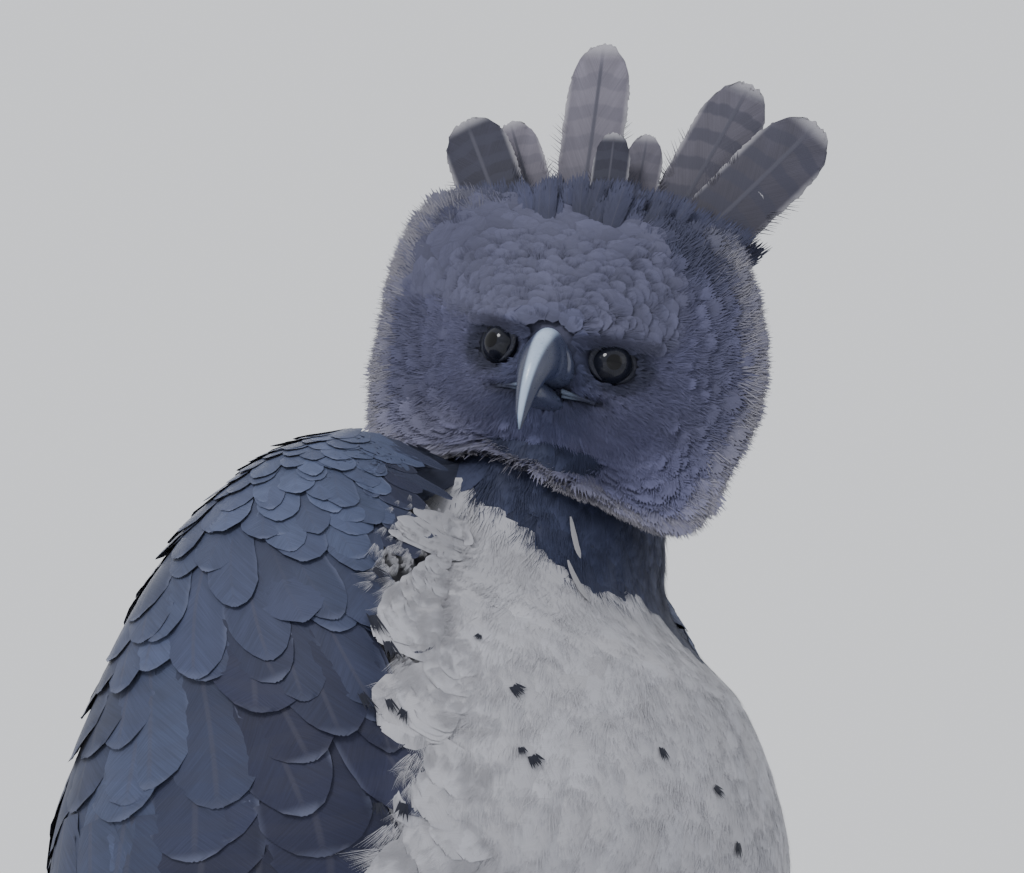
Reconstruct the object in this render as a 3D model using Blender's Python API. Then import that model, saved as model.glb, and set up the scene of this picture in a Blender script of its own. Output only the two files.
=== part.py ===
"""Harpy eagle, life size, perched on a cut length of branch that a plain display stand holds up.

Metres, +Z up. The origin is the middle of the stand's underside. The bird's body faces -Y, its
left side is +X, and its head is turned to its right. Each node is one closed solid, and nodes
that touch keep a gap of GAP between them.
"""

import math

import bpy
import numpy as np

GAP = 0.0003

# Stand and perch
BASE_SIZE = (0.46, 0.38)
BASE_THICK = 0.018
BASE_CORNER = 0.06
PERCH_TOP = 0.280
PERCH_RADIUS = 0.040
PERCH_LENGTH = 0.44
ROD_RADIUS = 0.009
ROD_SIDE = 0.165

# The body's own frame: an axis from vent to neck, leaning to the bird's left
BODY_CENTRE = np.array([0.0, -0.010, 0.565])
BODY_PITCH = math.radians(65)
BODY_ROLL = math.radians(5)

# Torso stations along the axis: place, half width, breast depth, back depth
TORSO = [
    (-0.200, 0.040, 0.036, 0.038),
    (-0.150, 0.076, 0.072, 0.060),
    (-0.090, 0.122, 0.124, 0.088),
    (-0.030, 0.154, 0.165, 0.104),
    (0.030, 0.167, 0.183, 0.110),
    (0.060, 0.161, 0.175, 0.110),
    (0.085, 0.148, 0.159, 0.106),
    (0.108, 0.131, 0.140, 0.100),
    (0.128, 0.110, 0.118, 0.092),
    (0.146, 0.080, 0.087, 0.078),
]
NECK_FOOT = 0.128

# Wing's outer surface stations out to the tips: place, half width, breast depth, back depth,
# thickness, and the angles from the back line where its front and back edges lie
WING = [
    (-0.430, 0.060, 0.050, 0.062, 0.004, 50, 16),
    (-0.330, 0.083, 0.068, 0.078, 0.008, 70, 15),
    (-0.245, 0.109, 0.092, 0.094, 0.016, 90, 16),
    (-0.180, 0.138, 0.122, 0.114, 0.028, 106, 16),
    (-0.100, 0.171, 0.168, 0.136, 0.050, 122, 17),
    (-0.040, 0.188, 0.190, 0.147, 0.054, 129, 19),
    (0.020, 0.193, 0.194, 0.149, 0.056, 130, 22),
    (0.080, 0.190, 0.182, 0.145, 0.060, 121, 27),
    (0.130, 0.173, 0.152, 0.132, 0.062, 109, 36),
    (0.160, 0.154, 0.121, 0.114, 0.054, 99, 48),
    (0.184, 0.122, 0.088, 0.090, 0.032, 88, 60),
]
WING_CORE_END = -0.245
# How far its edges turn in, as a share of the thickness
WING_ROUND = 0.4
# The left wing is held closer: its share of the half width, and how far back its front edge is
LEFT_WING_WIDTH = 0.94
LEFT_WING_BACK = 20
# Room left between the right wing and the ruff that hangs beside it
WING_ROOM = 0.006

# Feather rows of a folded wing, each from its back feather to its front one: how many, where
# their roots lie along the body, where their tips lie, where they lie across the wing (-1 back
# edge, 1 front edge) at the root and at the tip, half width, and points across
WING_ROWS = [
    (5, (-0.130, -0.100), (-0.430, -0.335), (-0.30, 0.70), (-0.90, 0.88), 0.0180, 2),
    (5, (-0.060, -0.040), (-0.345, -0.255), (-0.82, 0.84), (-0.84, 0.88), 0.0285, 2),
    (5, (0.055, 0.050), (-0.140, -0.110), (-0.80, 0.84), (-0.84, 0.86), 0.0330, 2),
    (4, (0.115, 0.110), (-0.030, -0.010), (-0.76, 0.78), (-0.78, 0.82), 0.0370, 2),
    (3, (0.155, 0.155), (0.055, 0.065), (-0.66, 0.66), (-0.70, 0.70), 0.0370, 2),
]
FEATHER_THICK = 0.0010
# How much a feather's one edge stands above its middle, so that it lies over its neighbour
FEATHER_TILT = 0.0030
LOCK_TILT = 0.0013
# How far a wing feather's root, middle and tip stand off the wing
FEATHER_LIFT = (-0.0110, 0.0055, 0.0085)

# Head: the point between the eyes, and how the face is turned from straight ahead
EYE_MIDDLE = np.array([-0.0369, -0.1364, 0.7887])
HEAD_TURN = math.radians(-60)
HEAD_PITCH = math.radians(-11)
HEAD_ROLL = math.radians(-15.5)
EYE_SIDE = 0.0270
EYE_FORWARD = -0.0034
EYE_RADIUS = 0.0115

# Head stations along the face's line: place, half width, height above, depth below, rise
HEAD = [
    (-0.098, 0.026, 0.022, 0.024, -0.004),
    (-0.084, 0.052, 0.048, 0.046, -0.002),
    (-0.062, 0.070, 0.066, 0.060, 0.000),
    (-0.042, 0.075, 0.071, 0.062, 0.000),
    (-0.024, 0.067, 0.064, 0.056, 0.000),
    (-0.010, 0.051, 0.050, 0.044, 0.000),
    (0.002, 0.036, 0.035, 0.034, 0.000),
    (0.012, 0.022, 0.022, 0.026, -0.002),
]


def smooth(stations, at):
    """Values of a table of stations at the places asked for, by a cubic through each station."""
    table = np.array(stations, float)
    x, y = table[:, 0], table[:, 1:]
    slope = np.gradient(y, x, axis=0)
    at = np.clip(np.asarray(at, float), x[0], x[-1])
    i = np.clip(np.searchsorted(x, at) - 1, 0, len(x) - 2)
    span = (x[i + 1] - x[i])[..., None]
    u = (at - x[i])[..., None] / span
    return (
        (2 * u**3 - 3 * u**2 + 1) * y[i]
        + (u**3 - 2 * u**2 + u) * span * slope[i]
        + (3 * u**2 - 2 * u**3) * y[i + 1]
        + (u**3 - u**2) * span * slope[i + 1]
    )


def unit(v):
    """The vector at length one, along the last axis."""
    v = np.asarray(v, float)
    return v / np.linalg.norm(v, axis=-1, keepdims=True)


def body_axes():
    """The bird's left, its back and its neck directions as unit vectors."""
    left = np.array([math.cos(BODY_ROLL), 0.0, -math.sin(BODY_ROLL)])
    up = np.array([math.sin(BODY_ROLL), 0.0, math.cos(BODY_ROLL)])
    ahead = np.array([0.0, -1.0, 0.0])
    neck = math.sin(BODY_PITCH) * up + math.cos(BODY_PITCH) * ahead
    back = math.cos(BODY_PITCH) * up - math.sin(BODY_PITCH) * ahead
    return left, back, neck


LEFT, BACK, NECK = body_axes()


def head_axes():
    """The face's forward, left and up directions as unit vectors."""
    level = np.array([math.sin(HEAD_TURN), -math.cos(HEAD_TURN), 0.0])
    side = np.array([-level[1], level[0], 0.0])
    forward = math.cos(HEAD_PITCH) * level + math.sin(HEAD_PITCH) * np.array([0, 0, 1.0])
    up = np.cross(forward, side)
    turned = math.cos(HEAD_ROLL) * side + math.sin(HEAD_ROLL) * up
    return forward, turned, np.cross(forward, turned)


FACE, FACE_LEFT, FACE_UP = head_axes()


def body_point(along, left, back):
    """A point given along the body's axis, to its left and towards its back."""
    along, left, back = (np.asarray(v, float)[..., None] for v in (along, left, back))
    return BODY_CENTRE + along * NECK + left * LEFT + back * BACK


def head_point(forward, left, up):
    """A point given from between the eyes: forward, to the bird's left and up."""
    forward, left, up = (np.asarray(v, float)[..., None] for v in (forward, left, up))
    return EYE_MIDDLE + forward * FACE + left * FACE_LEFT + up * FACE_UP


def material(name, colour, roughness, metallic=0.0):
    """A plain finish."""
    made = bpy.data.materials.new(name)
    made.use_nodes = True
    shader = made.node_tree.nodes["Principled BSDF"]
    shader.inputs["Base Color"].default_value = (*colour, 1.0)
    shader.inputs["Roughness"].default_value = roughness
    shader.inputs["Metallic"].default_value = metallic
    return made


def solid(name, points, faces, finish=None):
    """A mesh object from points and faces, turned so that its faces point outwards."""
    points = np.asarray(points, float)
    faces = np.asarray(faces, int)
    a, b, c = (points[faces[:, k]] for k in range(3))
    if np.einsum("ij,ij->i", a, np.cross(b, c)).sum() < 0:
        faces = faces[:, ::-1]
    mesh = bpy.data.meshes.new(name)
    mesh.from_pydata(points.tolist(), [], faces.tolist())
    made = bpy.data.objects.new(name, mesh)
    bpy.context.scene.collection.objects.link(made)
    if finish:
        mesh.materials.append(finish)
    return made


def loft(rings):
    """Points and triangles of a closed skin through rings of equal count, with a fan at each end."""
    rings = np.asarray(rings, float)
    count, around, _ = rings.shape
    points = np.concatenate([rings.reshape(-1, 3), [rings[0].mean(0)], [rings[-1].mean(0)]])
    i, j = np.meshgrid(np.arange(count - 1), np.arange(around), indexing="ij")
    a = (i * around + j).ravel()
    b = (i * around + (j + 1) % around).ravel()
    faces = [np.stack([a, b, b + around], 1), np.stack([a, b + around, a + around], 1)]
    j = np.arange(around)
    first, last = count * around, count * around + 1
    top = (count - 1) * around
    faces.append(np.stack([np.full(around, first), (j + 1) % around, j], 1))
    faces.append(np.stack([np.full(around, last), top + j, top + (j + 1) % around], 1))
    return points, np.concatenate(faces)


def closed_ring(rings):
    """Points and triangles of a closed skin through rings that come round to the first one."""
    rings = np.asarray(rings, float)
    count, around, _ = rings.shape
    i, j = np.meshgrid(np.arange(count), np.arange(around), indexing="ij")
    a, b = (i * around + j).ravel(), (i * around + (j + 1) % around).ravel()
    i = (i + 1) % count
    d, c = (i * around + j).ravel(), (i * around + (j + 1) % around).ravel()
    faces = np.concatenate([np.stack([a, b, c], 1), np.stack([a, c, d], 1)])
    return rings.reshape(-1, 3), faces


def shell(outer, inner):
    """Points and triangles of a closed sheet between two grids, split alike on both faces."""
    outer, inner = np.asarray(outer, float), np.asarray(inner, float)
    rows, columns, _ = outer.shape
    points = np.concatenate([outer.reshape(-1, 3), inner.reshape(-1, 3)])
    place = np.arange(rows * columns).reshape(rows, columns)
    a, b = place[:-1, :-1].ravel(), place[:-1, 1:].ravel()
    c, d = place[1:, 1:].ravel(), place[1:, :-1].ravel()
    front = np.concatenate([np.stack([a, b, c], 1), np.stack([a, c, d], 1)])
    rim = np.concatenate([place[0, :-1], place[:-1, -1], place[-1, :0:-1], place[:0:-1, 0]])
    after = np.roll(rim, -1)
    under = rows * columns
    wall = [
        np.stack([after, rim, rim + under], 1),
        np.stack([after, rim + under, after + under], 1),
    ]
    return points, np.concatenate([front, front[:, ::-1] + under] + wall)


def applied(obj):
    """Makes an object's modifiers part of its mesh."""
    graph = bpy.context.evaluated_depsgraph_get()
    mesh = bpy.data.meshes.new_from_object(obj.evaluated_get(graph))
    obj.modifiers.clear()
    obj.data = mesh
    return obj


def largest_surface(obj):
    """Keeps only the largest closed surface of a mesh, by the volume it holds."""
    mesh = obj.data
    mesh.calc_loop_triangles()
    points = np.array([v.co for v in mesh.vertices], float)
    faces = np.array([t.vertices for t in mesh.loop_triangles], int)
    group = np.arange(len(points))
    while True:
        low = group[faces].min(1)
        new = group.copy()
        np.minimum.at(new, faces.ravel(), np.repeat(low, 3))
        new = new[new]
        if (new == group).all():
            break
        group = new
    a, b, c = (points[faces[:, k]] for k in range(3))
    volume = np.einsum("ij,ij->i", a, np.cross(b, c)) / 6
    share = np.zeros(len(points))
    np.add.at(share, group[faces[:, 0]], volume)
    kept = faces[group[faces[:, 0]] == share.argmax()]
    used = np.unique(kept)
    place = np.zeros(len(points), int)
    place[used] = np.arange(len(used))
    finish = list(mesh.materials)
    new_mesh = bpy.data.meshes.new(mesh.name)
    new_mesh.from_pydata(points[used].tolist(), [], place[kept].tolist())
    for one in finish:
        new_mesh.materials.append(one)
    obj.data = new_mesh
    return obj


def joined(core, pieces, solver="EXACT"):
    """Joins closed pieces, given as (points, faces), to a solid that they overlap."""
    group = bpy.data.collections.new(core.name + "_pieces")
    bpy.context.scene.collection.children.link(group)
    for n, piece in enumerate(pieces):
        part = solid(f"{core.name}_piece_{n}", *piece)
        bpy.context.scene.collection.objects.unlink(part)
        group.objects.link(part)
    union = core.modifiers.new("join", "BOOLEAN")
    union.operation = "UNION"
    union.operand_type = "COLLECTION"
    union.collection = group
    union.solver = solver
    applied(core)
    for part in list(group.objects):
        bpy.data.objects.remove(part)
    bpy.data.collections.remove(group)
    return largest_surface(core)


def cut(obj, pieces, solver="EXACT"):
    """Takes closed pieces, given as (points, faces), out of a solid."""
    for n, piece in enumerate(pieces):
        cutter = solid(f"{obj.name}_cutter_{n}", *piece)
        take = obj.modifiers.new("cut", "BOOLEAN")
        take.operation = "DIFFERENCE"
        take.object = cutter
        take.solver = solver
        applied(obj)
        bpy.data.objects.remove(cutter)
    return largest_surface(obj)


def shaded(obj, degrees=40):
    """Shades a round piece smooth, with its sharp edges kept."""
    obj.data.shade_smooth()
    obj.data.set_sharp_from_angle(angle=math.radians(degrees))
    return obj


def tube(path, radius, around=10, squash=1.0, across=None):
    """Rings of a tube along a path, each of the radius given there, flattened by squash."""
    path = np.asarray(path, float)
    radius = np.broadcast_to(np.asarray(radius, float), (len(path),))
    ahead = unit(np.gradient(path, axis=0))
    across = np.array([1.0, 0.0, 0.0]) if across is None else np.asarray(across, float)
    side = unit(across - (ahead @ across)[:, None] * ahead)
    other = np.cross(ahead, side)
    turn = np.linspace(0, 2 * math.pi, around, endpoint=False)
    return (
        path[:, None]
        + (radius[:, None] * np.cos(turn))[..., None] * side[:, None]
        + (radius[:, None] * squash * np.sin(turn))[..., None] * other[:, None]
    )


def torso_ring(along, grow=0.0, around=18):
    """The torso's outline at places along the axis, grown outwards by grow."""
    along = np.atleast_1d(along)
    half, breast, rear = smooth(TORSO, along).T + grow
    turn = np.linspace(0, 2 * math.pi, around, endpoint=False)
    depth = np.where(np.cos(turn) > 0, rear[:, None], breast[:, None])
    return body_point(along[:, None], half[:, None] * np.sin(turn), depth * np.cos(turn))


def torso(grow=0.0):
    """The torso from tail root to neck, each end a flat face."""
    along = np.linspace(TORSO[0][0], NECK_FOOT, 12)
    rings = torso_ring(along, grow)
    rings[0] -= grow * NECK
    rings[-1] += grow * NECK
    return loft(rings)


def neck_path(at):
    """The neck's middle line from the torso's top into the head."""
    at = np.asarray(at, float)[..., None]
    start = body_point(NECK_FOOT, 0.0, 0.0)
    end = head_point(-0.068, 0.0, -0.006)
    bend = start + 0.060 * NECK
    return (1 - at) ** 2 * start + 2 * at * (1 - at) * bend + at**2 * end


def neck(grow=0.0):
    """The neck, which starts as the torso's end ring and narrows into a round column."""
    at = np.array([0, 0.08, 0.16, 0.26, 0.38, 0.55, 0.75, 1.0])
    path = neck_path(at)
    along = unit(np.gradient(path, at, axis=0))
    along[0] = NECK
    side = unit(np.cross(along, BACK))
    back = np.cross(side, along)
    half, breast, rear = (smooth(TORSO, NECK_FOOT) + grow).T
    column = np.array([0, 0.42, 0.72, 0.92, 1.0, 1.0, 1.0, 1.0])
    narrow = np.interp(at, [0, 0.38, 0.6, 1], [0.062, 0.060, 0.053, 0.046]) + grow
    turn = np.linspace(0, 2 * math.pi, 18, endpoint=False)
    depth = np.where(np.cos(turn) > 0, rear, breast)
    width = half + (narrow - half) * column
    depth = depth + (narrow[:, None] - depth) * column[:, None]
    rings = (
        path[:, None]
        + (width[:, None] * np.sin(turn))[..., None] * side[:, None]
        + (depth * np.cos(turn))[..., None] * back[:, None]
    )
    rings[0] += GAP * NECK
    rings[-1] += grow * along[-1]
    if grow:
        rings = np.concatenate([rings[:1] - (GAP + grow) * NECK, rings])
    return loft(rings)


def head_core(grow=0.0):
    """The feathered head without its crest, ruff, lids or bill."""
    forward = np.linspace(HEAD[0][0], HEAD[-1][0], 11)
    half, above, below, rise = smooth(HEAD, forward).T
    turn = np.linspace(0, 2 * math.pi, 18, endpoint=False)
    height = np.where(np.cos(turn) > 0, above[:, None], below[:, None]) + grow
    half = half[:, None] + grow
    forward[0] -= grow
    forward[-1] += grow
    rings = head_point(
        forward[:, None], half * np.sin(turn), height * np.cos(turn) + rise[:, None]
    )
    return loft(rings)


def ball(centre, radius, around=16, rings=9):
    """A round ball."""
    down = np.linspace(0, math.pi, rings)[1:-1]
    turn = np.linspace(0, 2 * math.pi, around, endpoint=False)
    flat = np.stack([np.cos(turn), np.sin(turn)], -1)
    points = np.concatenate(
        [
            np.sin(down)[:, None, None] * flat,
            np.broadcast_to(np.cos(down)[:, None, None], (len(down), around, 1)),
        ],
        -1,
    )
    points, faces = loft(points)
    points[-2:] = [[0, 0, 1], [0, 0, -1]]
    return centre + radius * points, faces


def wing_skin(along, across, lift, side):
    """Points on a folded wing: place along the body, -1 to 1 from back to front edge, lift."""
    along, across, lift = np.broadcast_arrays(*(np.asarray(v, float) for v in (along, across, lift)))
    half, breast, rear, thick, front, back = np.moveaxis(smooth(WING, along), -1, 0)
    if side > 0:
        half = half * LEFT_WING_WIDTH
        front = front - LEFT_WING_BACK * np.clip((along + 0.20) / 0.10, 0, 1)
    turn = np.radians((front + back) / 2 + across * (front - back) / 2)
    lens = np.sqrt(np.clip(1 - across**2, 0.01, 1))
    depth = np.where(np.cos(turn) > 0, rear, breast)
    radius = 1 / np.sqrt((np.sin(turn) / half) ** 2 + (np.cos(turn) / depth) ** 2)
    radius = radius + lift - WING_ROUND * thick * (1 - lens)
    return body_point(along, side * radius * np.sin(turn), radius * np.cos(turn))


def wing_core(side):
    """The folded wing's thick part, a lens-shaped shell that wraps the flank."""
    along = np.linspace(WING_CORE_END, WING[-1][0], 10)[:, None]
    across = np.linspace(-1, 1, 7)
    thick = smooth(WING, along)[..., 3] * np.sqrt(np.clip(1 - across**2, 0.01, 1))
    return shell(wing_skin(along, across, 0, side), wing_skin(along, across, -thick, side))


# A rounded feather's places along its length and its share of the half width there
ROUNDED = np.array([[0, 0.42, 0.82, 1.0], [0.66, 1.0, 0.88, 0.36]])
# A pointed lock's, and those of a long feather that widens towards a rounded end
POINTED = np.array([[0, 0.60, 1.0], [0.50, 1.0, 0.22]])
LONG_LOCK = np.array([[0, 0.50, 1.0], [0.80, 1.0, 0.24]])
CLUBBED = np.array([[0, 0.35, 0.70, 0.92, 1.0], [0.48, 0.76, 1.0, 0.84, 0.42]])


def wing_feather(side, root, tip, half, columns):
    """One feather that lies on a folded wing, from root to tip as (along, across)."""
    at, share = ROUNDED
    along = root[0] + at * (tip[0] - root[0])
    across = root[1] + at * (tip[1] - root[1])
    arc = np.linalg.norm(
        wing_skin(along, across + 0.05, 0, side) - wing_skin(along, across - 0.05, 0, side), axis=-1
    )
    x = np.linspace(-1, 1, columns)
    across = across[:, None] + x * (half * share / arc * 0.1)[:, None]
    height = np.interp(at, [0, 0.42, 1], FEATHER_LIFT)[:, None] + x * FEATHER_TILT
    along = along[:, None]
    outer = wing_skin(along, across, height, side)
    return shell(outer, wing_skin(along, across, height - FEATHER_THICK, side))


def wing_feathers(side):
    """All rows of a folded wing's feathers."""
    pieces = []
    for count, roots, tips, root_across, tip_across, half, columns in WING_ROWS:
        for share in np.linspace(0, 1, count):
            root = [a + share * (b - a) for a, b in (roots, root_across)]
            tip = [a + share * (b - a) for a, b in (tips, tip_across)]
            swing = 0.006 * math.sin(7.1 * share + 31 * half + side)
            pieces.append(wing_feather(side, root, (tip[0] + swing, tip[1]), half, columns))
    return pieces


def along_path(values, at):
    """Values given at even steps along a path, or one for all of it, at the places asked for."""
    values = np.asarray(values, float)
    if values.ndim == 1:
        return np.broadcast_to(values, (len(at), 3))
    steps = np.linspace(0, 1, len(values))
    return np.stack([np.interp(at, steps, values[:, k]) for k in range(3)], -1)


def feather(path, across, out, half, profile, thick=FEATHER_THICK, camber=0.0, columns=3, tilt=0.0):
    """A feather along a path, with directions across it and out of its upper face."""
    at, share = profile
    across, out = unit(along_path(across, at)), unit(along_path(out, at))
    x = np.linspace(-1, 1, columns)[:, None]
    wide = (half * share)[:, None, None]
    centre = along_path(path, at)[:, None] + x * wide * across[:, None]
    centre = centre + (camber * (1 - x**2) + tilt * x) * out[:, None]
    deep = (thick / 2 * np.interp(at, [0, 0.8, 1], [1, 1, 0.6]))[:, None, None] * out[:, None]
    return shell(centre + deep, centre - deep)


def build_stand(finish):
    """The base and two rods."""
    turn = np.linspace(0, 2 * math.pi, 32, endpoint=False)
    half = np.array(BASE_SIZE) / 2
    corner = np.stack([np.cos(turn), np.sin(turn)], -1) * BASE_CORNER
    outline = corner + np.sign(np.round(corner, 6)) * (half - BASE_CORNER)
    rings = [
        np.column_stack([outline * scale, np.full(len(outline), z)])
        for z, scale in ((0.0, 1.0), (BASE_THICK - 0.003, 1.0), (BASE_THICK, 0.988))
    ]
    shaded(solid("stand_base", *loft(rings), finish["stand"]))
    middle = PERCH_TOP - PERCH_RADIUS
    turn = np.linspace(0, 2 * math.pi, 16, endpoint=False)
    for name, x in (("stand_rod_left", ROD_SIDE), ("stand_rod_right", -ROD_SIDE)):
        ring = np.stack([np.cos(turn), np.sin(turn), 0 * turn], -1) * ROD_RADIUS
        rings = [ring + [x, 0, z] for z in (BASE_THICK + GAP, middle)]
        rod = solid(name, *loft(rings), finish["rod"])
        shaded(cut(rod, [perch_piece(GAP)]))


def perch_piece(grow=0.0):
    """The cut branch, gently uneven along its length, with a flat saw cut at each end."""
    x = np.linspace(-PERCH_LENGTH / 2, PERCH_LENGTH / 2, 8)
    path = np.stack([x, 0 * x, 0 * x + PERCH_TOP - PERCH_RADIUS], -1)
    away = np.clip((np.abs(x) - 0.12) / 0.08, 0, 1)
    radius = PERCH_RADIUS + 0.003 * away * np.sin(60 * x) + grow
    return loft(tube(path, radius, 20, across=np.array([0, 0, 1.0])))


def build_perch(finish):
    """The perch node."""
    shaded(solid("perch", *perch_piece(), finish["bark"]))


def leg_points(side):
    """Knee, ankle and foot of one leg."""
    knee = np.array([side * 0.074, -0.048, 0.468])
    ankle = np.array([side * 0.070, 0.036, 0.392])
    foot = np.array([side * 0.072, 0.000, PERCH_TOP + 0.014])
    return knee, ankle, foot


def thigh(side, grow=0.0):
    """The feathered upper leg, a thick cone that ends in a flat ring at the ankle."""
    knee, ankle, _ = leg_points(side)
    at = np.array([-0.25, 0.0, 0.3, 0.6, 0.85, 1.0])
    radius = np.array([0.042, 0.057, 0.060, 0.051, 0.037, 0.024])
    path = knee + at[:, None] * (ankle - knee)
    return loft(tube(path, radius + grow, 14))


# Trouser feathers: how many round each thigh and how far their tips hang past the ankle
TROUSER_COUNT = 7
TROUSER_HALF = 0.0160
TROUSER_HANG = 0.034
# Radii of the room left for them, above the knee, at the knee, at the ankle and past their tips
TROUSER_ROOM = (0.060, 0.070, 0.046, 0.038)


def trousers(side):
    """The long feathers of the thigh, which hang loose round the ankle."""
    knee, ankle, foot = leg_points(side)
    along, down = unit(ankle - knee), unit(foot - ankle)
    right = unit(np.cross(along, [0.0, 0.0, 1.0]))
    above = np.cross(right, along)
    pieces = []
    for n in range(TROUSER_COUNT):
        turn = 2 * math.pi * (n + 0.4 + 0.06 * side) / TROUSER_COUNT
        hang = TROUSER_HANG * (0.85 + 0.15 * math.sin(5 * n + 2 * side))
        away = math.cos(turn) * above + math.sin(turn) * right
        low = unit(away - (away @ down) * down)
        path = np.array([
            knee + 0.42 * (ankle - knee) + 0.050 * away,
            knee + 0.74 * (ankle - knee) + 0.0475 * away,
            ankle - 0.004 * along + 0.0325 * unit(away + 0.4 * low),
            ankle + hang * down + 0.0235 * low,
        ])
        across = np.cross(down + along, away)
        out = np.array([away, away, unit(away + 0.4 * low), low])
        pieces.append(feather(path, across, out, TROUSER_HALF, LONG_LOCK, 0.0014, 0, 2, LOCK_TILT))
    return pieces


def trouser_room(side):
    """The room round a thigh and its trousers that the wing beside it leaves free."""
    knee, ankle, foot = leg_points(side)
    path = [knee + 0.25 * (knee - ankle), knee, ankle, ankle + 1.3 * TROUSER_HANG * unit(foot - ankle)]
    return loft(tube(path, TROUSER_ROOM, 12))


def build_legs(finish):
    """Thigh, shank, foot and claws on both sides."""
    for name, side in (("left", 1), ("right", -1)):
        ankle, foot = leg_points(side)[1:]
        made = solid(f"thigh_{name}", *thigh(side), finish["thigh"])
        joined(made, trousers(side), "MANIFOLD")
        shaded(cut(made, [torso(GAP)], "MANIFOLD"))
        path = ankle + np.array([0.0, 0.35, 0.75, 1.0])[:, None] * (foot - ankle)
        rings = tube(path, np.array([0.0138, 0.0128, 0.0128, 0.0150]), 12)
        shank = solid(f"shank_{name}", *loft(rings), finish["leg"])
        down = unit(foot - ankle)
        floor = foot - 0.010 * down
        cut(shank, [thigh(side, GAP), perch_piece(GAP), slab(floor, down)])
        build_foot(name, side, floor, down, finish)
        shaded(shank)


def slab(point, normal, size=0.2):
    """A large block that starts at a point and runs along a direction, to cut a flat end."""
    normal = unit(normal)
    side = unit(np.cross(normal, [1.0, 0.0, 0.0]))
    other = np.cross(normal, side)
    corners = [side + other, other - side, -side - other, side - other]
    return loft([point + size * (np.array(corners) + 2 * k * normal) for k in (0, 1)])


# How far a claw turns along its length, and how high on the toe's end it starts
CLAW_BEND = 1.55
CLAW_RISE = 0.0045

TOES = [
    # name, sideways spread outwards, length along the perch's round, thickness, claw length
    ("inner", -0.40, 0.066, 0.0105, 0.050),
    ("middle", 0.02, 0.074, 0.0105, 0.046),
    ("outer", 0.46, 0.064, 0.0095, 0.042),
    ("rear", 3.14, 0.054, 0.0115, 0.066),
]


def toe_path(foot, spread, side, length, height, steps):
    """Points of a toe that lies over the branch, and the branch's outward direction there."""
    reach = np.linspace(0, length, steps)
    ahead, out = math.cos(spread), math.sin(spread)
    angle = reach * ahead / (PERCH_RADIUS + height)
    up = np.stack([0 * angle, -np.sin(angle), np.cos(angle)], -1)
    middle = np.array([0.0, 0.0, PERCH_TOP - PERCH_RADIUS])
    path = middle + up * (PERCH_RADIUS + height)
    path[:, 0] += foot[0] + side * out * reach
    return path, up


def build_foot(name, side, floor, down, finish):
    """A foot of four toes over the branch, and the four claws."""
    foot = leg_points(side)[2]
    pieces, claws = [ball(foot + np.array([0, 0, 0.002]), 0.0175, 8, 5)], []
    for toe, spread, length, thick, claw in TOES:
        path, up = toe_path(foot, spread, side, length, thick, 5)
        swell = thick * (1 + 0.10 * np.cos(np.linspace(0, 4 * math.pi, 5)))
        pieces.append(loft(tube(path, swell, 6)))
        claws.append((toe, path[-1], unit(path[-1] - path[-2]), up[-1], claw, thick))
    made = joined(solid(f"foot_{name}", *pieces[0], finish["leg"]), pieces[1:])
    block = slab(floor + GAP * down, -down)
    shaded(cut(made, [perch_piece(GAP), block] + [claw_piece(*c[1:], GAP) for c in claws]))
    for claw in claws:
        horn = solid(f"claw_{name}_{claw[0]}", *claw_piece(*claw[1:]), finish["claw"])
        shaded(cut(horn, [perch_piece(GAP)]))


def claw_piece(root, ahead, out, length, thick, grow=0.0):
    """A hooked claw that starts inside the toe's end and curves down round the branch."""
    at = np.linspace(0, 1, 6)
    turn = CLAW_BEND * at
    radius = length / CLAW_BEND
    path = root + radius * (np.sin(turn)[:, None] * ahead - (1 - np.cos(turn))[:, None] * out)
    path += CLAW_RISE * out
    taper = thick * 0.66 * (1 - at) ** 0.75 + 0.0006 + grow
    return loft(tube(path, taper, 7, 1.15, np.cross(ahead, out)))


# Bill sections: forward and up of the ridge, the same of the cutting edge, and half width
UPPER_BILL = [
    ((0.008, 0.0070), (0.002, -0.0190), 0.0122),
    ((0.018, 0.0088), (0.012, -0.0186), 0.0120),
    ((0.028, 0.0080), (0.022, -0.0186), 0.0112),
    ((0.0375, 0.0025), (0.030, -0.0188), 0.0098),
    ((0.0452, -0.0060), (0.0365, -0.0200), 0.0080),
    ((0.0502, -0.0165), (0.0405, -0.0235), 0.0062),
    ((0.0515, -0.0280), (0.0430, -0.0300), 0.0045),
    ((0.0490, -0.0385), (0.0440, -0.0370), 0.0029),
    ((0.0445, -0.0450), (0.0437, -0.0432), 0.0010),
]
LOWER_BILL = [
    ((0.000, -0.0205), (0.002, -0.0320), 0.0108),
    ((0.014, -0.0205), (0.016, -0.0325), 0.0098),
    ((0.025, -0.0210), (0.026, -0.0310), 0.0074),
    ((0.032, -0.0222), (0.0325, -0.0290), 0.0045),
    ((0.0355, -0.0238), (0.0355, -0.0272), 0.0020),
]
# How far the bill leans to the bird's left, as a share of its reach forward
BILL_LEAN = 0.06


def bill_half(sections, around=10):
    """Upper or lower bill, lofted through upright rings from ridge to cutting edge."""
    turn = np.linspace(0, 2 * math.pi, around, endpoint=False)
    rings = []
    for ridge, edge, half in sections:
        ridge, edge = np.array(ridge), np.array(edge)
        side = (ridge + edge) / 2 + np.cos(turn)[:, None] * (ridge - edge) / 2
        wide = half * np.sin(turn) * (1 - 0.22 * np.cos(turn))
        rings.append(head_point(side[:, 0], wide + BILL_LEAN * side[:, 0], side[:, 1]))
    return loft(rings)


def eye_centre(side):
    """The middle of an eyeball, sunk under the brow."""
    return head_point(EYE_FORWARD, side * EYE_SIDE, 0.0)


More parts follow.
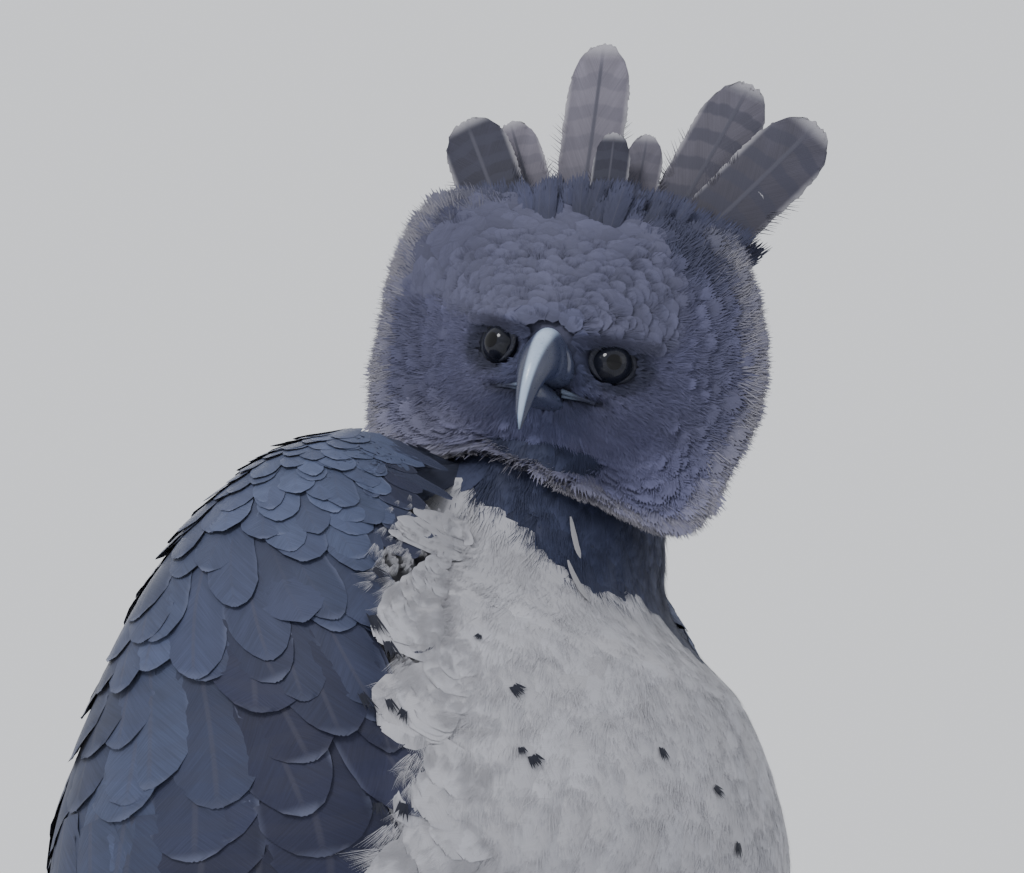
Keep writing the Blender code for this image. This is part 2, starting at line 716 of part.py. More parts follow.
def eyeball(side, grow=0.0):
    """An eyeball, or a slightly larger one to clear its place."""
    return ball(eye_centre(side), EYE_RADIUS + grow, 14, 8)


def socket(side):
    """The hollow in front of an eye."""
    return ball(head_point(0.0130, side * 0.0370, -0.001), 0.0175, 10, 6)


def lid_ring(side, grow=0.0):
    """The ring of the eyelids, which hugs the eyeball."""
    look = math.radians(40)
    out = math.cos(look) * FACE + side * math.sin(look) * FACE_LEFT
    along = side * (math.cos(look) * FACE_LEFT - side * math.sin(look) * FACE)
    turn = np.linspace(0, 2 * math.pi, 12, endpoint=False)
    small = np.linspace(0, 2 * math.pi, 5, endpoint=False)
    spread = (np.cos(turn) * 0.0098)[:, None] * along + (np.sin(turn) * 0.0088)[:, None] * FACE_UP
    centre = eye_centre(side) + 0.0066 * out + spread
    away = unit(spread)
    thick = 0.0021 + 0.0010 * np.clip(np.sin(turn), 0, 1) + grow
    rings = (
        centre[:, None]
        + (thick[:, None] * np.cos(small))[..., None] * away[:, None]
        + (thick[:, None] * np.sin(small))[..., None] * out
    )
    return closed_ring(rings)


def head_egg(centre, size):
    """A ball stretched along the face's own directions."""
    points, faces = ball(np.zeros(3), 1.0, 12, 7)
    return head_point(*(np.array(centre) + points * np.array(size)).T), faces


# Mouth's groove in the cheeks and the nostrils in the cere: middle and half sizes
MOUTH = ((0.006, 0.0, -0.0205), (0.016, 0.026, 0.0009))
NOSTRIL = ((0.0200, 0.0112, -0.0050), (0.0016, 0.0030, 0.0042))


def build_head(finish):
    """Head with crest and ruff, eyes and bill."""
    upper, lower = bill_half(UPPER_BILL), bill_half(LOWER_BILL)
    hollows = [socket(1), socket(-1), head_egg(*MOUTH)]
    core = cut(solid("head", *head_core(), finish["head"]), hollows)
    made = joined(core, [lid_ring(1), lid_ring(-1)] + ruff() + crest())
    wing_room = grown(wing_core(-1), WING_ROOM)
    shaded(cut(made, [eyeball(1, GAP), eyeball(-1, GAP), neck(GAP), wing_room]))
    for name, side in (("left", 1), ("right", -1)):
        shaded(solid(f"eye_{name}", *eyeball(side), finish["eye"]))
    (forward, left, up), size = NOSTRIL
    nostrils = [head_egg((forward, side * left, up), size) for side in (1, -1)]
    shaded(cut(solid("bill_upper", *upper, finish["bill"]), [head_core(GAP)] + nostrils))
    bottom = solid("bill_lower", *lower, finish["bill"])
    shaded(cut(bottom, [head_core(GAP), grown(upper, GAP)]))


def grown(piece, amount):
    """A closed piece with each point moved outwards along its own normal."""
    points, faces = piece
    a, b, c = (points[faces[:, k]] for k in range(3))
    face_normal = np.cross(b - a, c - a)
    if np.einsum("ij,ij->i", a, np.cross(b, c)).sum() < 0:
        face_normal = -face_normal
    normal = np.zeros_like(points)
    for k in range(3):
        np.add.at(normal, faces[:, k], unit(face_normal + 1e-15))
    return points + amount * unit(normal), faces


# Crest feathers: forward, left and up of where each leaves the head, the same of its tip, and
# its half width
CREST = [
    ((-0.045, -0.050, 0.076), (-0.070, -0.095, 0.118), 0.014),
    ((-0.055, -0.039, 0.085), (-0.080, -0.076, 0.123), 0.012),
    ((-0.055, -0.023, 0.085), (-0.085, -0.036, 0.174), 0.015),
    ((-0.045, 0.000, 0.084), (-0.060, -0.009, 0.123), 0.006),
    ((-0.055, 0.007, 0.088), (-0.075, -0.001, 0.126), 0.009),
    ((-0.055, 0.019, 0.087), (-0.085, 0.048, 0.165), 0.015),
    ((-0.050, 0.031, 0.083), (-0.080, 0.088, 0.146), 0.017),
    ((-0.050, 0.041, 0.078), (-0.065, 0.062, 0.107), 0.012),
]
# How far below that place a crest feather is rooted, how much closer to the middle as a share,
# and how far it bows back
CREST_ROOT = 0.036
CREST_CLOSER = 0.8
CREST_BOW = 0.004
# How far one crest feather lies behind the next
CREST_STEP = 0.0045

# Ruff: angle from straight up towards the bird's left, and how far out its rim is there
RUFF = [
    (-180, 0.063),
    (-150, 0.068),
    (-126, 0.104),
    (-109, 0.103),
    (-87, 0.102),
    (-71, 0.108),
    (-54, 0.114),
    (-35, 0.102),
    (-6, 0.089),
    (34, 0.102),
    (68, 0.100),
    (89, 0.101),
    (112, 0.102),
    (134, 0.110),
    (150, 0.084),
    (180, 0.063),
]
# How far forward the ruff's rim lies, at the same kind of angle
RUFF_PLANE = [(0, -0.042), (60, -0.032), (110, -0.024), (140, -0.006), (180, 0.008)]


# Ruff locks: how many, how far out their roots and tips are as shares of the rim, and how far
# behind the rim's plane the root and the tip lie
RUFF_ROWS = [
    (18, 0.58, 1.00, -0.018, 0.000),
    (11, 0.60, 0.97, -0.036, -0.016),
]
# The back row leaves out this much of the circle each side of the top, where the crest stands
CREST_ROOM = math.radians(38)


def crest():
    """The crest's feathers, each one a flat blade that widens towards a rounded end."""
    pieces = []
    for n, (root, tip, half) in enumerate(CREST):
        step = CREST_STEP * (n % 3)
        start = head_point(root[0] - step, CREST_CLOSER * root[1], root[2] - CREST_ROOT)
        tip = head_point(tip[0] - step, tip[1], tip[2])
        along = unit(tip - start)
        across = np.cross(along, FACE)
        at = np.linspace(0, 1, 7)[:, None]
        path = start + at * (tip - start) - CREST_BOW * np.sin(math.pi * at) * FACE
        out = np.cross(across, along)
        pieces.append(feather(path, across, out, half, CLUBBED, 0.0014, 0.0018))
    return pieces


def ruff_point(turn, share, back):
    """A point of the ruff at an angle from straight up, as a share of the way to the rim."""
    degrees = (math.degrees(turn) + 180) % 360 - 180
    rim = smooth(RUFF, degrees)[0]
    plane = smooth(RUFF_PLANE, abs(degrees))[0]
    return head_point(plane + back, rim * share * math.sin(turn), rim * share * math.cos(turn))


def ruff():
    """The ruff's locks, which stand out all round the face."""
    at = np.linspace(0, 1, 5)
    pieces = []
    for count, root, tip, root_back, tip_back in RUFF_ROWS:
        step = 2 * math.pi / count
        for n in range(count):
            turn = step * (n + root) - math.pi
            if abs(turn) < CREST_ROOM and root_back < -0.02:
                continue
            ends = tip * (1 + 0.035 * math.sin(9.0 * n + 40 * root)) - root
            back = root_back + (tip_back - root_back) * at + 0.003 * np.sin(math.pi * at)
            path = ruff_point(turn, root + ends * at, back)
            chord = ruff_point(turn + step / 2, 0.85, 0) - ruff_point(turn - step / 2, 0.85, 0)
            half = 0.72 * np.linalg.norm(chord)
            out = np.cross(chord, path[-1] - path[0])
            pieces.append(feather(path, chord, out, half, POINTED, 0.0012, 0, 2, -LOCK_TILT))
    return pieces


def tail_axes():
    """The tail's direction, its left and its upper side."""
    pitch = math.radians(60)
    along = np.array([0.0, math.cos(pitch), -math.sin(pitch)])
    upper = np.array([0.0, math.sin(pitch), math.cos(pitch)])
    return along, np.array([1.0, 0.0, 0.0]), upper


TAIL_LENGTH = 0.395


def tail_point(along, left, upper):
    """A point given from the tail's root, along it, to the left and towards its upper side."""
    down, side, top = tail_axes()
    start = body_point(TORSO[0][0], 0.0, 0.0)
    along, left, upper = (np.asarray(v, float)[..., None] for v in (along, left, upper))
    return start + along * down + left * side + upper * top


def tail_base(grow=0.0):
    """The mound of tail coverts, which starts as the torso's end ring."""
    first = torso_ring(TORSO[0][0], grow)[0] - GAP * NECK
    turn = np.linspace(0, 2 * math.pi, len(first), endpoint=False)
    rings = [first]
    for along, half, tall in ((0.035, 0.047, 0.034), (0.08, 0.046, 0.022), (0.15, 0.042, 0.010)):
        half, tall = half + grow, tall + grow
        rings.append(tail_point(along, half * np.sin(turn), tall * np.cos(turn)))
    return loft(rings)


# Tail feathers: how many on each side, half width, how far apart they lie at the tip, how much
# lower each one lies than its inner neighbour, and how much shorter it is
TAIL_PAIRS = 6
TAIL_HALF = 0.0245
TAIL_SPREAD = 0.0062
TAIL_STEP = 0.0022
TAIL_THICK = 0.0008
TAIL_SHORTER = 0.004
SQUARE_END = np.array([[0, 0.30, 0.65, 0.92, 1.0], [0.60, 0.86, 1.0, 0.88, 0.48]])


def tail_feathers():
    """The twelve tail feathers, the middle pair on top."""
    upper = tail_axes()[2]
    pieces = []
    for side in (1, -1):
        for rank in range(TAIL_PAIRS):
            length = TAIL_LENGTH - TAIL_SHORTER * rank
            along = np.linspace(0.03, length, 5)
            share = along / TAIL_LENGTH
            left = side * (0.003 + TAIL_SPREAD * rank) * (0.4 + 0.6 * share)
            height = 0.004 - TAIL_STEP * (rank + 0.5 * (side < 0)) + 0.006 * share**2
            path = tail_point(along, left, height)
            pieces.append(feather(path, [1.0, 0, 0], upper, TAIL_HALF, SQUARE_END, TAIL_THICK, 0, 2))
    return pieces


def build_body(finish):
    """Torso, neck, wings and tail."""
    shaded(solid("torso", *torso(), finish["breast"]))
    shaded(solid("neck", *neck(), finish["band"]))
    made = joined(solid("tail", *tail_base(), finish["tail"]), tail_feathers())
    shaded(made)
    for name, side in (("left", 1), ("right", -1)):
        core = solid(f"wing_{name}", *wing_core(side), finish["wing"])
        made = joined(core, wing_feathers(side))
        cut(made, [torso(GAP), neck(GAP), trouser_room(side)])
        shaded(made)


def main():
    """Builds every node."""
    for old in list(bpy.data.objects):
        bpy.data.objects.remove(old)
    finish = {
        "stand": material("stand_wood", (0.09, 0.05, 0.03), 0.45),
        "rod": material("stand_steel", (0.12, 0.12, 0.12), 0.4, 0.9),
        "bark": material("bark", (0.16, 0.12, 0.09), 0.9),
        "breast": material("breast_white", (0.72, 0.71, 0.70), 0.85),
        "band": material("slate_band", (0.07, 0.07, 0.09), 0.8),
        "head": material("head_grey", (0.26, 0.25, 0.28), 0.85),
        "wing": material("wing_slate", (0.13, 0.14, 0.18), 0.7),
        "tail": material("tail_bars", (0.12, 0.12, 0.13), 0.75),
        "thigh": material("thigh_barred", (0.55, 0.54, 0.53), 0.85),
        "leg": material("leg_yellow", (0.62, 0.50, 0.18), 0.6),
        "claw": material("claw_black", (0.03, 0.03, 0.035), 0.3),
        "bill": material("bill_slate", (0.16, 0.19, 0.22), 0.35),
        "eye": material("eye_dark", (0.06, 0.05, 0.05), 0.1),
    }
    build_stand(finish)
    build_perch(finish)
    build_legs(finish)
    build_body(finish)
    build_head(finish)


main()
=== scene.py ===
"""Looks of a life-size harpy eagle on a cut branch: skin, feathers, horn, perch and stand.

Metres, +Z up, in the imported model's own frame. A surface of the bird is a function of two
parameters and a height. Each feather is a small template mesh laid on such a surface or along a
curve, and the skin below it follows the same surfaces.
"""

import logging
import math
from collections.abc import Callable
from dataclasses import dataclass, field
from enum import Enum

import bpy
import numpy as np
from mathutils import Matrix, Vector, kdtree


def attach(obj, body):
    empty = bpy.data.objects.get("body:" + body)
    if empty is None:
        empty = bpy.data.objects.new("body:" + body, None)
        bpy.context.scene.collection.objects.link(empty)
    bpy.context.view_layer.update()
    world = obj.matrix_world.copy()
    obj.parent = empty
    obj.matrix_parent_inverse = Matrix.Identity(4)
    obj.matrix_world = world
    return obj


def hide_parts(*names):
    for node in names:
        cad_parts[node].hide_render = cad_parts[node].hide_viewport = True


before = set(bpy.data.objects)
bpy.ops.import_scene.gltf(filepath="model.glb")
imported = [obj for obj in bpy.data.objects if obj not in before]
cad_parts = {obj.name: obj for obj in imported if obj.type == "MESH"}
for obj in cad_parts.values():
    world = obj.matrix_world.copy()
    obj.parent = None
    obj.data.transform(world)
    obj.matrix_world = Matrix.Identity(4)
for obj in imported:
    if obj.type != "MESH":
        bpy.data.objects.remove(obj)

LOG = logging.getLogger("eagle")
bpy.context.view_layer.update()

Array = np.ndarray
Colour = tuple[float, float, float]
Values = Array | float
Chance = np.random.Generator
Pace = float | Callable[[float], float]


class Side(Enum):
    """The bird's left or right, as the sign of its sideways direction."""

    LEFT = 1
    RIGHT = -1

    @property
    def word(self) -> str:
        """The side's name in a piece's name."""
        return self.name.lower()


class Outline(Enum):
    """A feather's shape: places along its length and its share of the half width there."""

    ROUNDED = ((0.0, 0.15, 0.4, 0.7, 0.87, 0.95, 1.0), (0.4, 0.72, 0.96, 1.0, 0.8, 0.55, 0.14))
    BROAD = ((0.0, 0.25, 0.55, 0.8, 0.91, 0.97, 1.0), (0.55, 0.9, 1.0, 0.95, 0.74, 0.46, 0.14))
    LONG = ((0.0, 0.1, 0.45, 0.85, 0.94, 0.985, 1.0), (0.3, 0.62, 1.0, 0.95, 0.74, 0.42, 0.12))
    CLUBBED = ((0.0, 0.2, 0.45, 0.7, 0.88, 0.95, 0.985, 1.0), (0.64, 0.84, 0.95, 1.0, 0.97, 0.86, 0.66, 0.4))
    SQUARE = ((0.0, 0.2, 0.6, 0.93, 0.98, 1.0), (0.5, 0.8, 1.0, 0.92, 0.66, 0.24))


def unit(v: Array) -> Array:
    """The vectors at length one, along the last axis."""
    return v / np.maximum(np.linalg.norm(v, axis=-1, keepdims=True), 1e-12)


def ease(value: Array, low: float, high: float) -> Array:
    """0 below low and 1 above high, with a smooth cubic between.

    Args:
        value: The numbers to ease.
        low: Where the ramp starts.
        high: Where it ends.

    Returns:
        3t² - 2t³ for t the clamped share of the way from low to high.
    """
    share = np.clip((np.asarray(value, float) - low) / (high - low), 0, 1)
    return share * share * (3 - 2 * share)


def blend(first: Array, second: Array, share: Array) -> Array:
    """Colours between two, by a share for each."""
    share = np.asarray(share, float)[..., None]
    return np.asarray(first, float) * (1 - share) + np.asarray(second, float) * share


def arrays(*values: Array) -> list[Array]:
    """The values as arrays of numbers of one shape."""
    return np.broadcast_arrays(*(np.asarray(value, float) for value in values))


def bell(*shares: Array) -> Array:
    """A bell curve: e to the minus sum of the squares."""
    return np.exp(-sum(share**2 for share in shares))


def signed_degrees(angle: Array) -> Array:
    """Radians as degrees from -180 to 180."""
    return (np.degrees(angle) + 180) % 360 - 180


def full_turn(count: int) -> Array:
    """Evenly spaced angles round a circle."""
    return np.linspace(0, 2 * math.pi, count, endpoint=False)


@dataclass(frozen=True)
class Table:
    """Values at stations along a line, joined by a cubic that passes through each station."""

    rows: tuple

    def __call__(self, at: Array) -> Array:
        """The values at the places asked for, in a last axis."""
        table = np.array(self.rows, float)
        x, y = table[:, 0], table[:, 1:]
        slope = np.gradient(y, x, axis=0)
        at = np.clip(np.asarray(at, float), x[0], x[-1])
        i = np.clip(np.searchsorted(x, at) - 1, 0, len(x) - 2)
        span = (x[i + 1] - x[i])[..., None]
        t = (at - x[i])[..., None] / span
        start, end = y[i], y[i + 1]
        rising = (t**3 - 2 * t**2 + t) * span * slope[i] + (t**3 - t**2) * span * slope[i + 1]
        return (2 * t**3 - 3 * t**2 + 1) * start + (3 * t**2 - 2 * t**3) * end + rising


@dataclass(frozen=True)
class Axes:
    """An origin with three directions at right angles: ahead, to the bird's left, and up."""

    origin: Array
    ahead: Array
    left: Array
    up: Array

    def place(self, ahead: Array, left: Array, up: Array) -> Array:
        """The point at these distances along the three directions."""
        ahead, left, up = (np.asarray(v, float)[..., None] for v in (ahead, left, up))
        return self.origin + ahead * self.ahead + left * self.left + up * self.up


def body_axes() -> Axes:
    """The body's axes: ahead towards the neck, up towards the back, leaning 5 degrees."""
    pitch, roll = math.radians(65), math.radians(5)
    left = np.array([math.cos(roll), 0.0, -math.sin(roll)])
    up = np.array([math.sin(roll), 0.0, math.cos(roll)])
    front = np.array([0.0, -1.0, 0.0])
    neck = math.sin(pitch) * up + math.cos(pitch) * front
    back = math.cos(pitch) * up - math.sin(pitch) * front
    return Axes(np.array([0.0, -0.01, 0.565]), neck, left, back)


def head_axes() -> Axes:
    """The head's axes, from between the eyes: turned 60 degrees right, down 11, tilted 15.5."""
    turn, pitch, roll = math.radians(-60), math.radians(-11), math.radians(-15.5)
    level = np.array([math.sin(turn), -math.cos(turn), 0.0])
    side = np.array([-level[1], level[0], 0.0])
    face = math.cos(pitch) * level + math.sin(pitch) * np.array([0, 0, 1.0])
    left = math.cos(roll) * side + math.sin(roll) * np.cross(face, side)
    return Axes(np.array([-0.0369, -0.1364, 0.7887]), face, left, np.cross(face, left))


BODY = body_axes()
HEAD = head_axes()

# Torso: place along the body, half width, breast depth and back depth; the neck starts at its top
TORSO = Table((
    (-0.2, 0.04, 0.036, 0.038),
    (-0.15, 0.076, 0.072, 0.06),
    (-0.09, 0.122, 0.124, 0.088),
    (-0.03, 0.154, 0.165, 0.104),
    (0.03, 0.167, 0.183, 0.11),
    (0.06, 0.161, 0.175, 0.11),
    (0.085, 0.148, 0.159, 0.106),
    (0.108, 0.131, 0.14, 0.1),
    (0.128, 0.11, 0.118, 0.092),
    (0.146, 0.08, 0.087, 0.078),
))
TORSO_END = -0.2
NECK_FOOT = 0.128
NECK_LENGTH = 0.122
NECK_COLUMN = Table((
    (0.0, 0.0, 0.062),
    (0.08, 0.42, 0.062),
    (0.16, 0.72, 0.061),
    (0.26, 0.92, 0.061),
    (0.38, 1.0, 0.06),
    (0.6, 1.0, 0.053),
    (1.0, 1.0, 0.046),
))
# Wing: place, half width, breast and back depth, thickness, degrees of its front and back edges
WING = Table((
    (-0.43, 0.06, 0.05, 0.062, 0.004, 50, 16),
    (-0.33, 0.083, 0.068, 0.078, 0.008, 70, 15),
    (-0.245, 0.109, 0.092, 0.094, 0.016, 90, 16),
    (-0.18, 0.138, 0.122, 0.114, 0.028, 106, 16),
    (-0.1, 0.171, 0.168, 0.136, 0.05, 122, 17),
    (-0.04, 0.188, 0.19, 0.147, 0.054, 129, 19),
    (0.02, 0.193, 0.194, 0.149, 0.056, 130, 22),
    (0.08, 0.19, 0.182, 0.145, 0.06, 121, 27),
    (0.13, 0.173, 0.152, 0.132, 0.062, 109, 36),
    (0.16, 0.154, 0.121, 0.114, 0.054, 99, 48),
    (0.184, 0.122, 0.088, 0.09, 0.032, 88, 60),
))
WING_TOP = 0.184
WING_CORE_END = -0.245
LEFT_WING_WIDTH = 0.94
LEFT_WING_BACK = 20
WING_ROUND = 0.4
# Head: place along the face's line, half width, height above, depth below, rise
SKULL = Table((
    (-0.113, 0.001, 0.001, 0.001, -0.005),
    (-0.112, 0.006, 0.005, 0.006, -0.005),
    (-0.1085, 0.016, 0.014, 0.015, -0.005),
    (-0.101, 0.029, 0.026, 0.027, -0.004),
    (-0.084, 0.052, 0.048, 0.046, -0.002),
    (-0.062, 0.07, 0.066, 0.06, 0.0),
    (-0.042, 0.075, 0.071, 0.062, 0.0),
    (-0.024, 0.067, 0.064, 0.056, 0.0),
    (-0.01, 0.051, 0.05, 0.044, 0.0),
    (0.002, 0.036, 0.035, 0.034, 0.0),
    (0.012, 0.022, 0.022, 0.026, -0.002),
))
# Ruff: degrees from straight up towards the bird's left, and how far out its rim lies
RUFF = Table((
    (-180, 0.063),
    (-150, 0.068),
    (-126, 0.104),
    (-109, 0.103),
    (-87, 0.102),
    (-71, 0.108),
    (-54, 0.114),
    (-35, 0.102),
    (-6, 0.089),
    (34, 0.102),
    (68, 0.1),
    (89, 0.101),
    (112, 0.102),
    (134, 0.11),
    (150, 0.084),
    (180, 0.063),
))
# The rim's place along the face's line, by degrees from straight up to either side
RUFF_PLANE = Table(((0, -0.042), (60, -0.032), (110, -0.024), (140, -0.006), (180, 0.008)))
# The face's dome: share of the skull's oval, and place along the face's line there
DOME = Table(((0.0, 0.015), (0.293, 0.011), (0.48, 0.002), (0.68, -0.009), (0.8, -0.016)))
DOME_EDGE = 0.8
DOME_SLOPE = -0.062

EYE_SIDE = 0.027
EYE_FORWARD = -0.0034
EYE_RADIUS = 0.0115


class Surface:
    """A sheet of the bird, as a point for two parameters and a height above it."""

    def point(self, u: Array, v: Array, lift: Array = 0.0) -> Array:
        """The points for parameters along and across the feathers' lie."""
        raise NotImplementedError

    def metric(self, u: Array, v: Array) -> tuple[Array, Array]:
        """Metres to one unit of each parameter, by central differences."""
        small = 1e-4
        along = self.point(u + small, v) - self.point(u - small, v)
        across = self.point(u, v + small) - self.point(u, v - small)
        return tuple(np.maximum(np.linalg.norm(d, axis=-1) / (2 * small), 1e-3) for d in (along, across))

    def grid(self, u: Array, v: Array, lift: Array = 0.0) -> Array:
        """Points on the grid of all pairs of the two parameters."""
        return self.point(np.asarray(u)[:, None], np.asarray(v)[None, :], lift)


class Trunk(Surface):
    """Torso and neck: u in metres up from the torso's top ring, v the angle from the back line."""

    def point(self, u: Array, v: Array, lift: Array = 0.0) -> Array:
        """Oval rings, square to the body's axis below u = 0 and to the neck's curve above it."""
        u, v, lift = arrays(u, v, lift)
        degrees = np.abs(signed_degrees(v))
        lift = lift + 0.019 * bell((degrees - 72) / 30, (u - 0.03) / 0.03)
        along = np.maximum(NECK_FOOT + np.minimum(u, 0.0), TORSO_END)
        half, breast, rear = np.moveaxis(TORSO(along), -1, 0)
        depth = np.where(np.cos(v) > 0, rear, breast)
        body = BODY.place(along, (half + lift) * np.sin(v), (depth + lift) * np.cos(v))
        at = np.clip(u / NECK_LENGTH, 0, 1)[..., None]
        start = BODY.place(NECK_FOOT, 0.0, 0.0)
        bend = start + 0.06 * BODY.ahead
        end = HEAD.place(-0.068, 0.0, -0.006)
        path = (1 - at) ** 2 * start + 2 * at * (1 - at) * bend + at**2 * end
        ahead = unit((1 - at) * (bend - start) + at * (end - bend))
        side = unit(np.cross(BODY.up, ahead))
        back = np.cross(ahead, side)
        column, narrow = np.moveaxis(NECK_COLUMN(at[..., 0]), -1, 0)
        width = half + (narrow - half) * column + lift
        depth = depth + (narrow - depth) * column + lift
        neck = path + (width * np.sin(v))[..., None] * side + (depth * np.cos(v))[..., None] * back
        return np.where(u[..., None] > 0, neck, body)


class FacePlate(Surface):
    """Face and ruff in one: u the share of the way to the rim, v the angle from straight up."""

    def forward(self, u: Array, v: Array) -> Array:
        """How far forward the plate lies: the dome, then a cubic out to the rim's own plane."""
        degrees = signed_degrees(v)
        rim = RUFF(degrees)[..., 0]
        radius = rim * u
        tall = np.where(np.cos(v) > 0, 0.071, 0.062)
        oval = 1 / np.sqrt((np.sin(v) / 0.075) ** 2 + (np.cos(v) / tall) ** 2)
        inner = DOME(radius / oval)[..., 0]
        reach = rim / oval - DOME_EDGE
        q = np.clip((radius / oval - DOME_EDGE) / reach, 0, 1.2)
        plane = RUFF_PLANE(np.abs(degrees))[..., 0]
        edge = DOME(np.array(DOME_EDGE))[..., 0]
        turn = (q**3 - 2 * q**2 + q) + 0.5 * (q**3 - q**2)
        outer = (2 * q**3 - 3 * q**2 + 1) * edge + (3 * q**2 - 2 * q**3) * plane
        outer = outer + turn * reach * DOME_SLOPE
        left, up = radius * np.sin(v), radius * np.cos(v)
        return np.where(radius / oval < DOME_EDGE, inner, outer) + self.relief(left, up)

    @staticmethod
    def relief(left: Array, up: Array) -> Array:
        """Hollows round the eyes, ridges of the brows and a fold behind the mouth, as bumps.

        Args:
            left: Distance to the bird's left of the face's middle.
            up: Distance above the eyes.

        Returns:
            Height to add to the plate: sums of bell curves in the two distances.
        """
        away = np.abs(left)
        hollow = -0.0072 * bell((away - 0.0275) / 0.014, (up + 0.0015) / 0.0115)
        line = up - 0.0122 - 0.18 * (away - 0.0255)
        brow = 0.0062 * np.exp(-(((away - 0.025) / 0.016) ** 2) - (line / 0.0045) ** 2)
        cheek = 0.0035 * bell((away - 0.034) / 0.016, (up + 0.026) / 0.012)
        fold = -0.0028 * bell((up + 0.0205) / 0.0018) * ease(away, 0.034, 0.026)
        return hollow + brow + cheek + fold

    def point(self, u: Array, v: Array, lift: Array = 0.0) -> Array:
        """Points of the plate, raised square to its slope from middle to rim."""
        u, v, lift = arrays(u, v, lift)
        degrees = signed_degrees(v)
        rim = RUFF(degrees)[..., 0]
        small = 0.01
        slope = (self.forward(u + small, v) - self.forward(u - small, v)) / (2 * small * rim)
        tilt = 1 / np.sqrt(1 + slope**2)
        radius = rim * u - lift * slope * tilt
        forward = self.forward(u, v) + lift * tilt
        return HEAD.place(forward, radius * np.sin(v), radius * np.cos(v))


class Skull(Surface):
    """The head behind the ruff: u along the face's line, v the angle from straight up."""

    def point(self, u: Array, v: Array, lift: Array = 0.0) -> Array:
        """Oval rings across the face's line."""
        u, v, lift = arrays(u, v, lift)
        half, above, below, rise = np.moveaxis(SKULL(u), -1, 0)
        height = np.where(np.cos(v) > 0, above, below) + lift
        return HEAD.place(u, (half + lift) * np.sin(v), height * np.cos(v) + rise)


class RuffBack(Surface):
    """The ruff's back: u the share of the way to the rim, v the angle from straight up."""

    def point(self, u: Array, v: Array, lift: Array = 0.0) -> Array:
        """A cone from the skull's side out to just behind the rim; height is backwards."""
        u, v, lift = arrays(u, v, lift)
        degrees = signed_degrees(v)
        rim = RUFF(degrees)[..., 0]
        plane = RUFF_PLANE(np.abs(degrees))[..., 0]
        q = np.clip((u - 0.55) / 0.45, 0, 1.2)
        forward = plane - 0.038 * (1 - q) - 0.007 - lift
        return HEAD.place(forward, rim * u * np.sin(v), rim * u * np.cos(v))


@dataclass(frozen=True)
class Wing(Surface):
    """A folded wing: u along the body, v from -1 at its back edge to 1 at its front edge."""

    side: Side

    def point(self, u: Array, v: Array, lift: Array = 0.0) -> Array:
        """Part of an oval round the body, whose edges turn in and then down to the trunk."""
        u, v, lift = arrays(u, v, lift)
        half, breast, rear, thick, front, back = np.moveaxis(WING(u), -1, 0)
        if self.side is Side.LEFT:
            half = half * LEFT_WING_WIDTH
            front = front - LEFT_WING_BACK * np.clip((u + 0.2) / 0.1, 0, 1)
        turn = np.radians((front + back) / 2 + v * (front - back) / 2)
        lens = np.sqrt(np.clip(1 - v**2, 0.01, 1))
        trunk = np.moveaxis(TORSO(u), -1, 0)
        radius, ground = (
            1 / np.hypot(np.sin(turn) / wide, np.cos(turn) / np.where(np.cos(turn) > 0, near, far))
            for wide, far, near in ((half, breast, rear), trunk)
        )
        beyond = (np.clip(np.abs(v) - 1, 0, 0.3) / 0.3) ** 2
        radius = radius + lift - WING_ROUND * thick * (1 - lens)
        radius = radius + beyond * np.minimum(ground + 0.3 * lift + 0.001 - radius, 0)
        return BODY.place(u, self.side.value * radius * np.sin(turn), radius * np.cos(turn))


@dataclass(frozen=True)
class Limb(Surface):
    """A tapering limb between two points: u in metres from the first, v the angle round it."""

    start: Array
    end: Array
    radii: Table

    def point(self, u: Array, v: Array, lift: Array = 0.0) -> Array:
        """Circles across the line from start to end."""
        u, v, lift = arrays(u, v, lift)
        ahead = unit(self.end - self.start)
        right = unit(np.cross(ahead, [0.0, 0.0, 1.0]))
        above = np.cross(right, ahead)
        radius = (self.radii(u)[..., 0] + lift)[..., None]
        across = np.cos(v)[..., None] * above + np.sin(v)[..., None] * right
        return self.start + u[..., None] * ahead + radius * across


class TailRoot(Surface):
    """The mound of coverts over the tail's root: u in metres down the tail, v the angle round it."""

    shape = Table(((0.0, 0.043, 0.04), (0.035, 0.047, 0.034), (0.08, 0.046, 0.022), (0.15, 0.042, 0.01)))

    def point(self, u: Array, v: Array, lift: Array = 0.0) -> Array:
        """Oval rings across the tail's line, flatter towards its end."""
        u, v, lift = arrays(u, v, lift)
        half, tall = np.moveaxis(self.shape(u), -1, 0)
        return tail_point(u, (half + lift) * np.sin(v), (tall + lift) * np.cos(v))


TAIL_PITCH = math.radians(60)
TAIL = Axes(
    BODY.place(TORSO_END, 0.0, 0.0), np.array([0.0, math.cos(TAIL_PITCH), -math.sin(TAIL_PITCH)]),
    np.array([1.0, 0.0, 0.0]), np.array([0.0, math.sin(TAIL_PITCH), math.cos(TAIL_PITCH)])
)


def tail_point(along: Array, left: Array, upper: Array) -> Array:
    """A point down the tail, to its left and towards its upper side."""
    return TAIL.place(along, left, upper)


@dataclass(frozen=True)
class Vane:
    """A feather's template: shares along, across and out of its sheet, and which points lie under."""

    along: Array
    across: Array
    rise: Array
    under: Array
    faces: Array


def grid_faces(rows: int, columns: int) -> Array:
    """Four-cornered faces of a grid of points in row order."""
    place = np.arange(rows * columns).reshape(rows, columns)
    return np.stack(
        [place[:-1, :-1].ravel(), place[:-1, 1:].ravel(), place[1:, 1:].ravel(), place[1:, :-1].ravel()], 1
    )


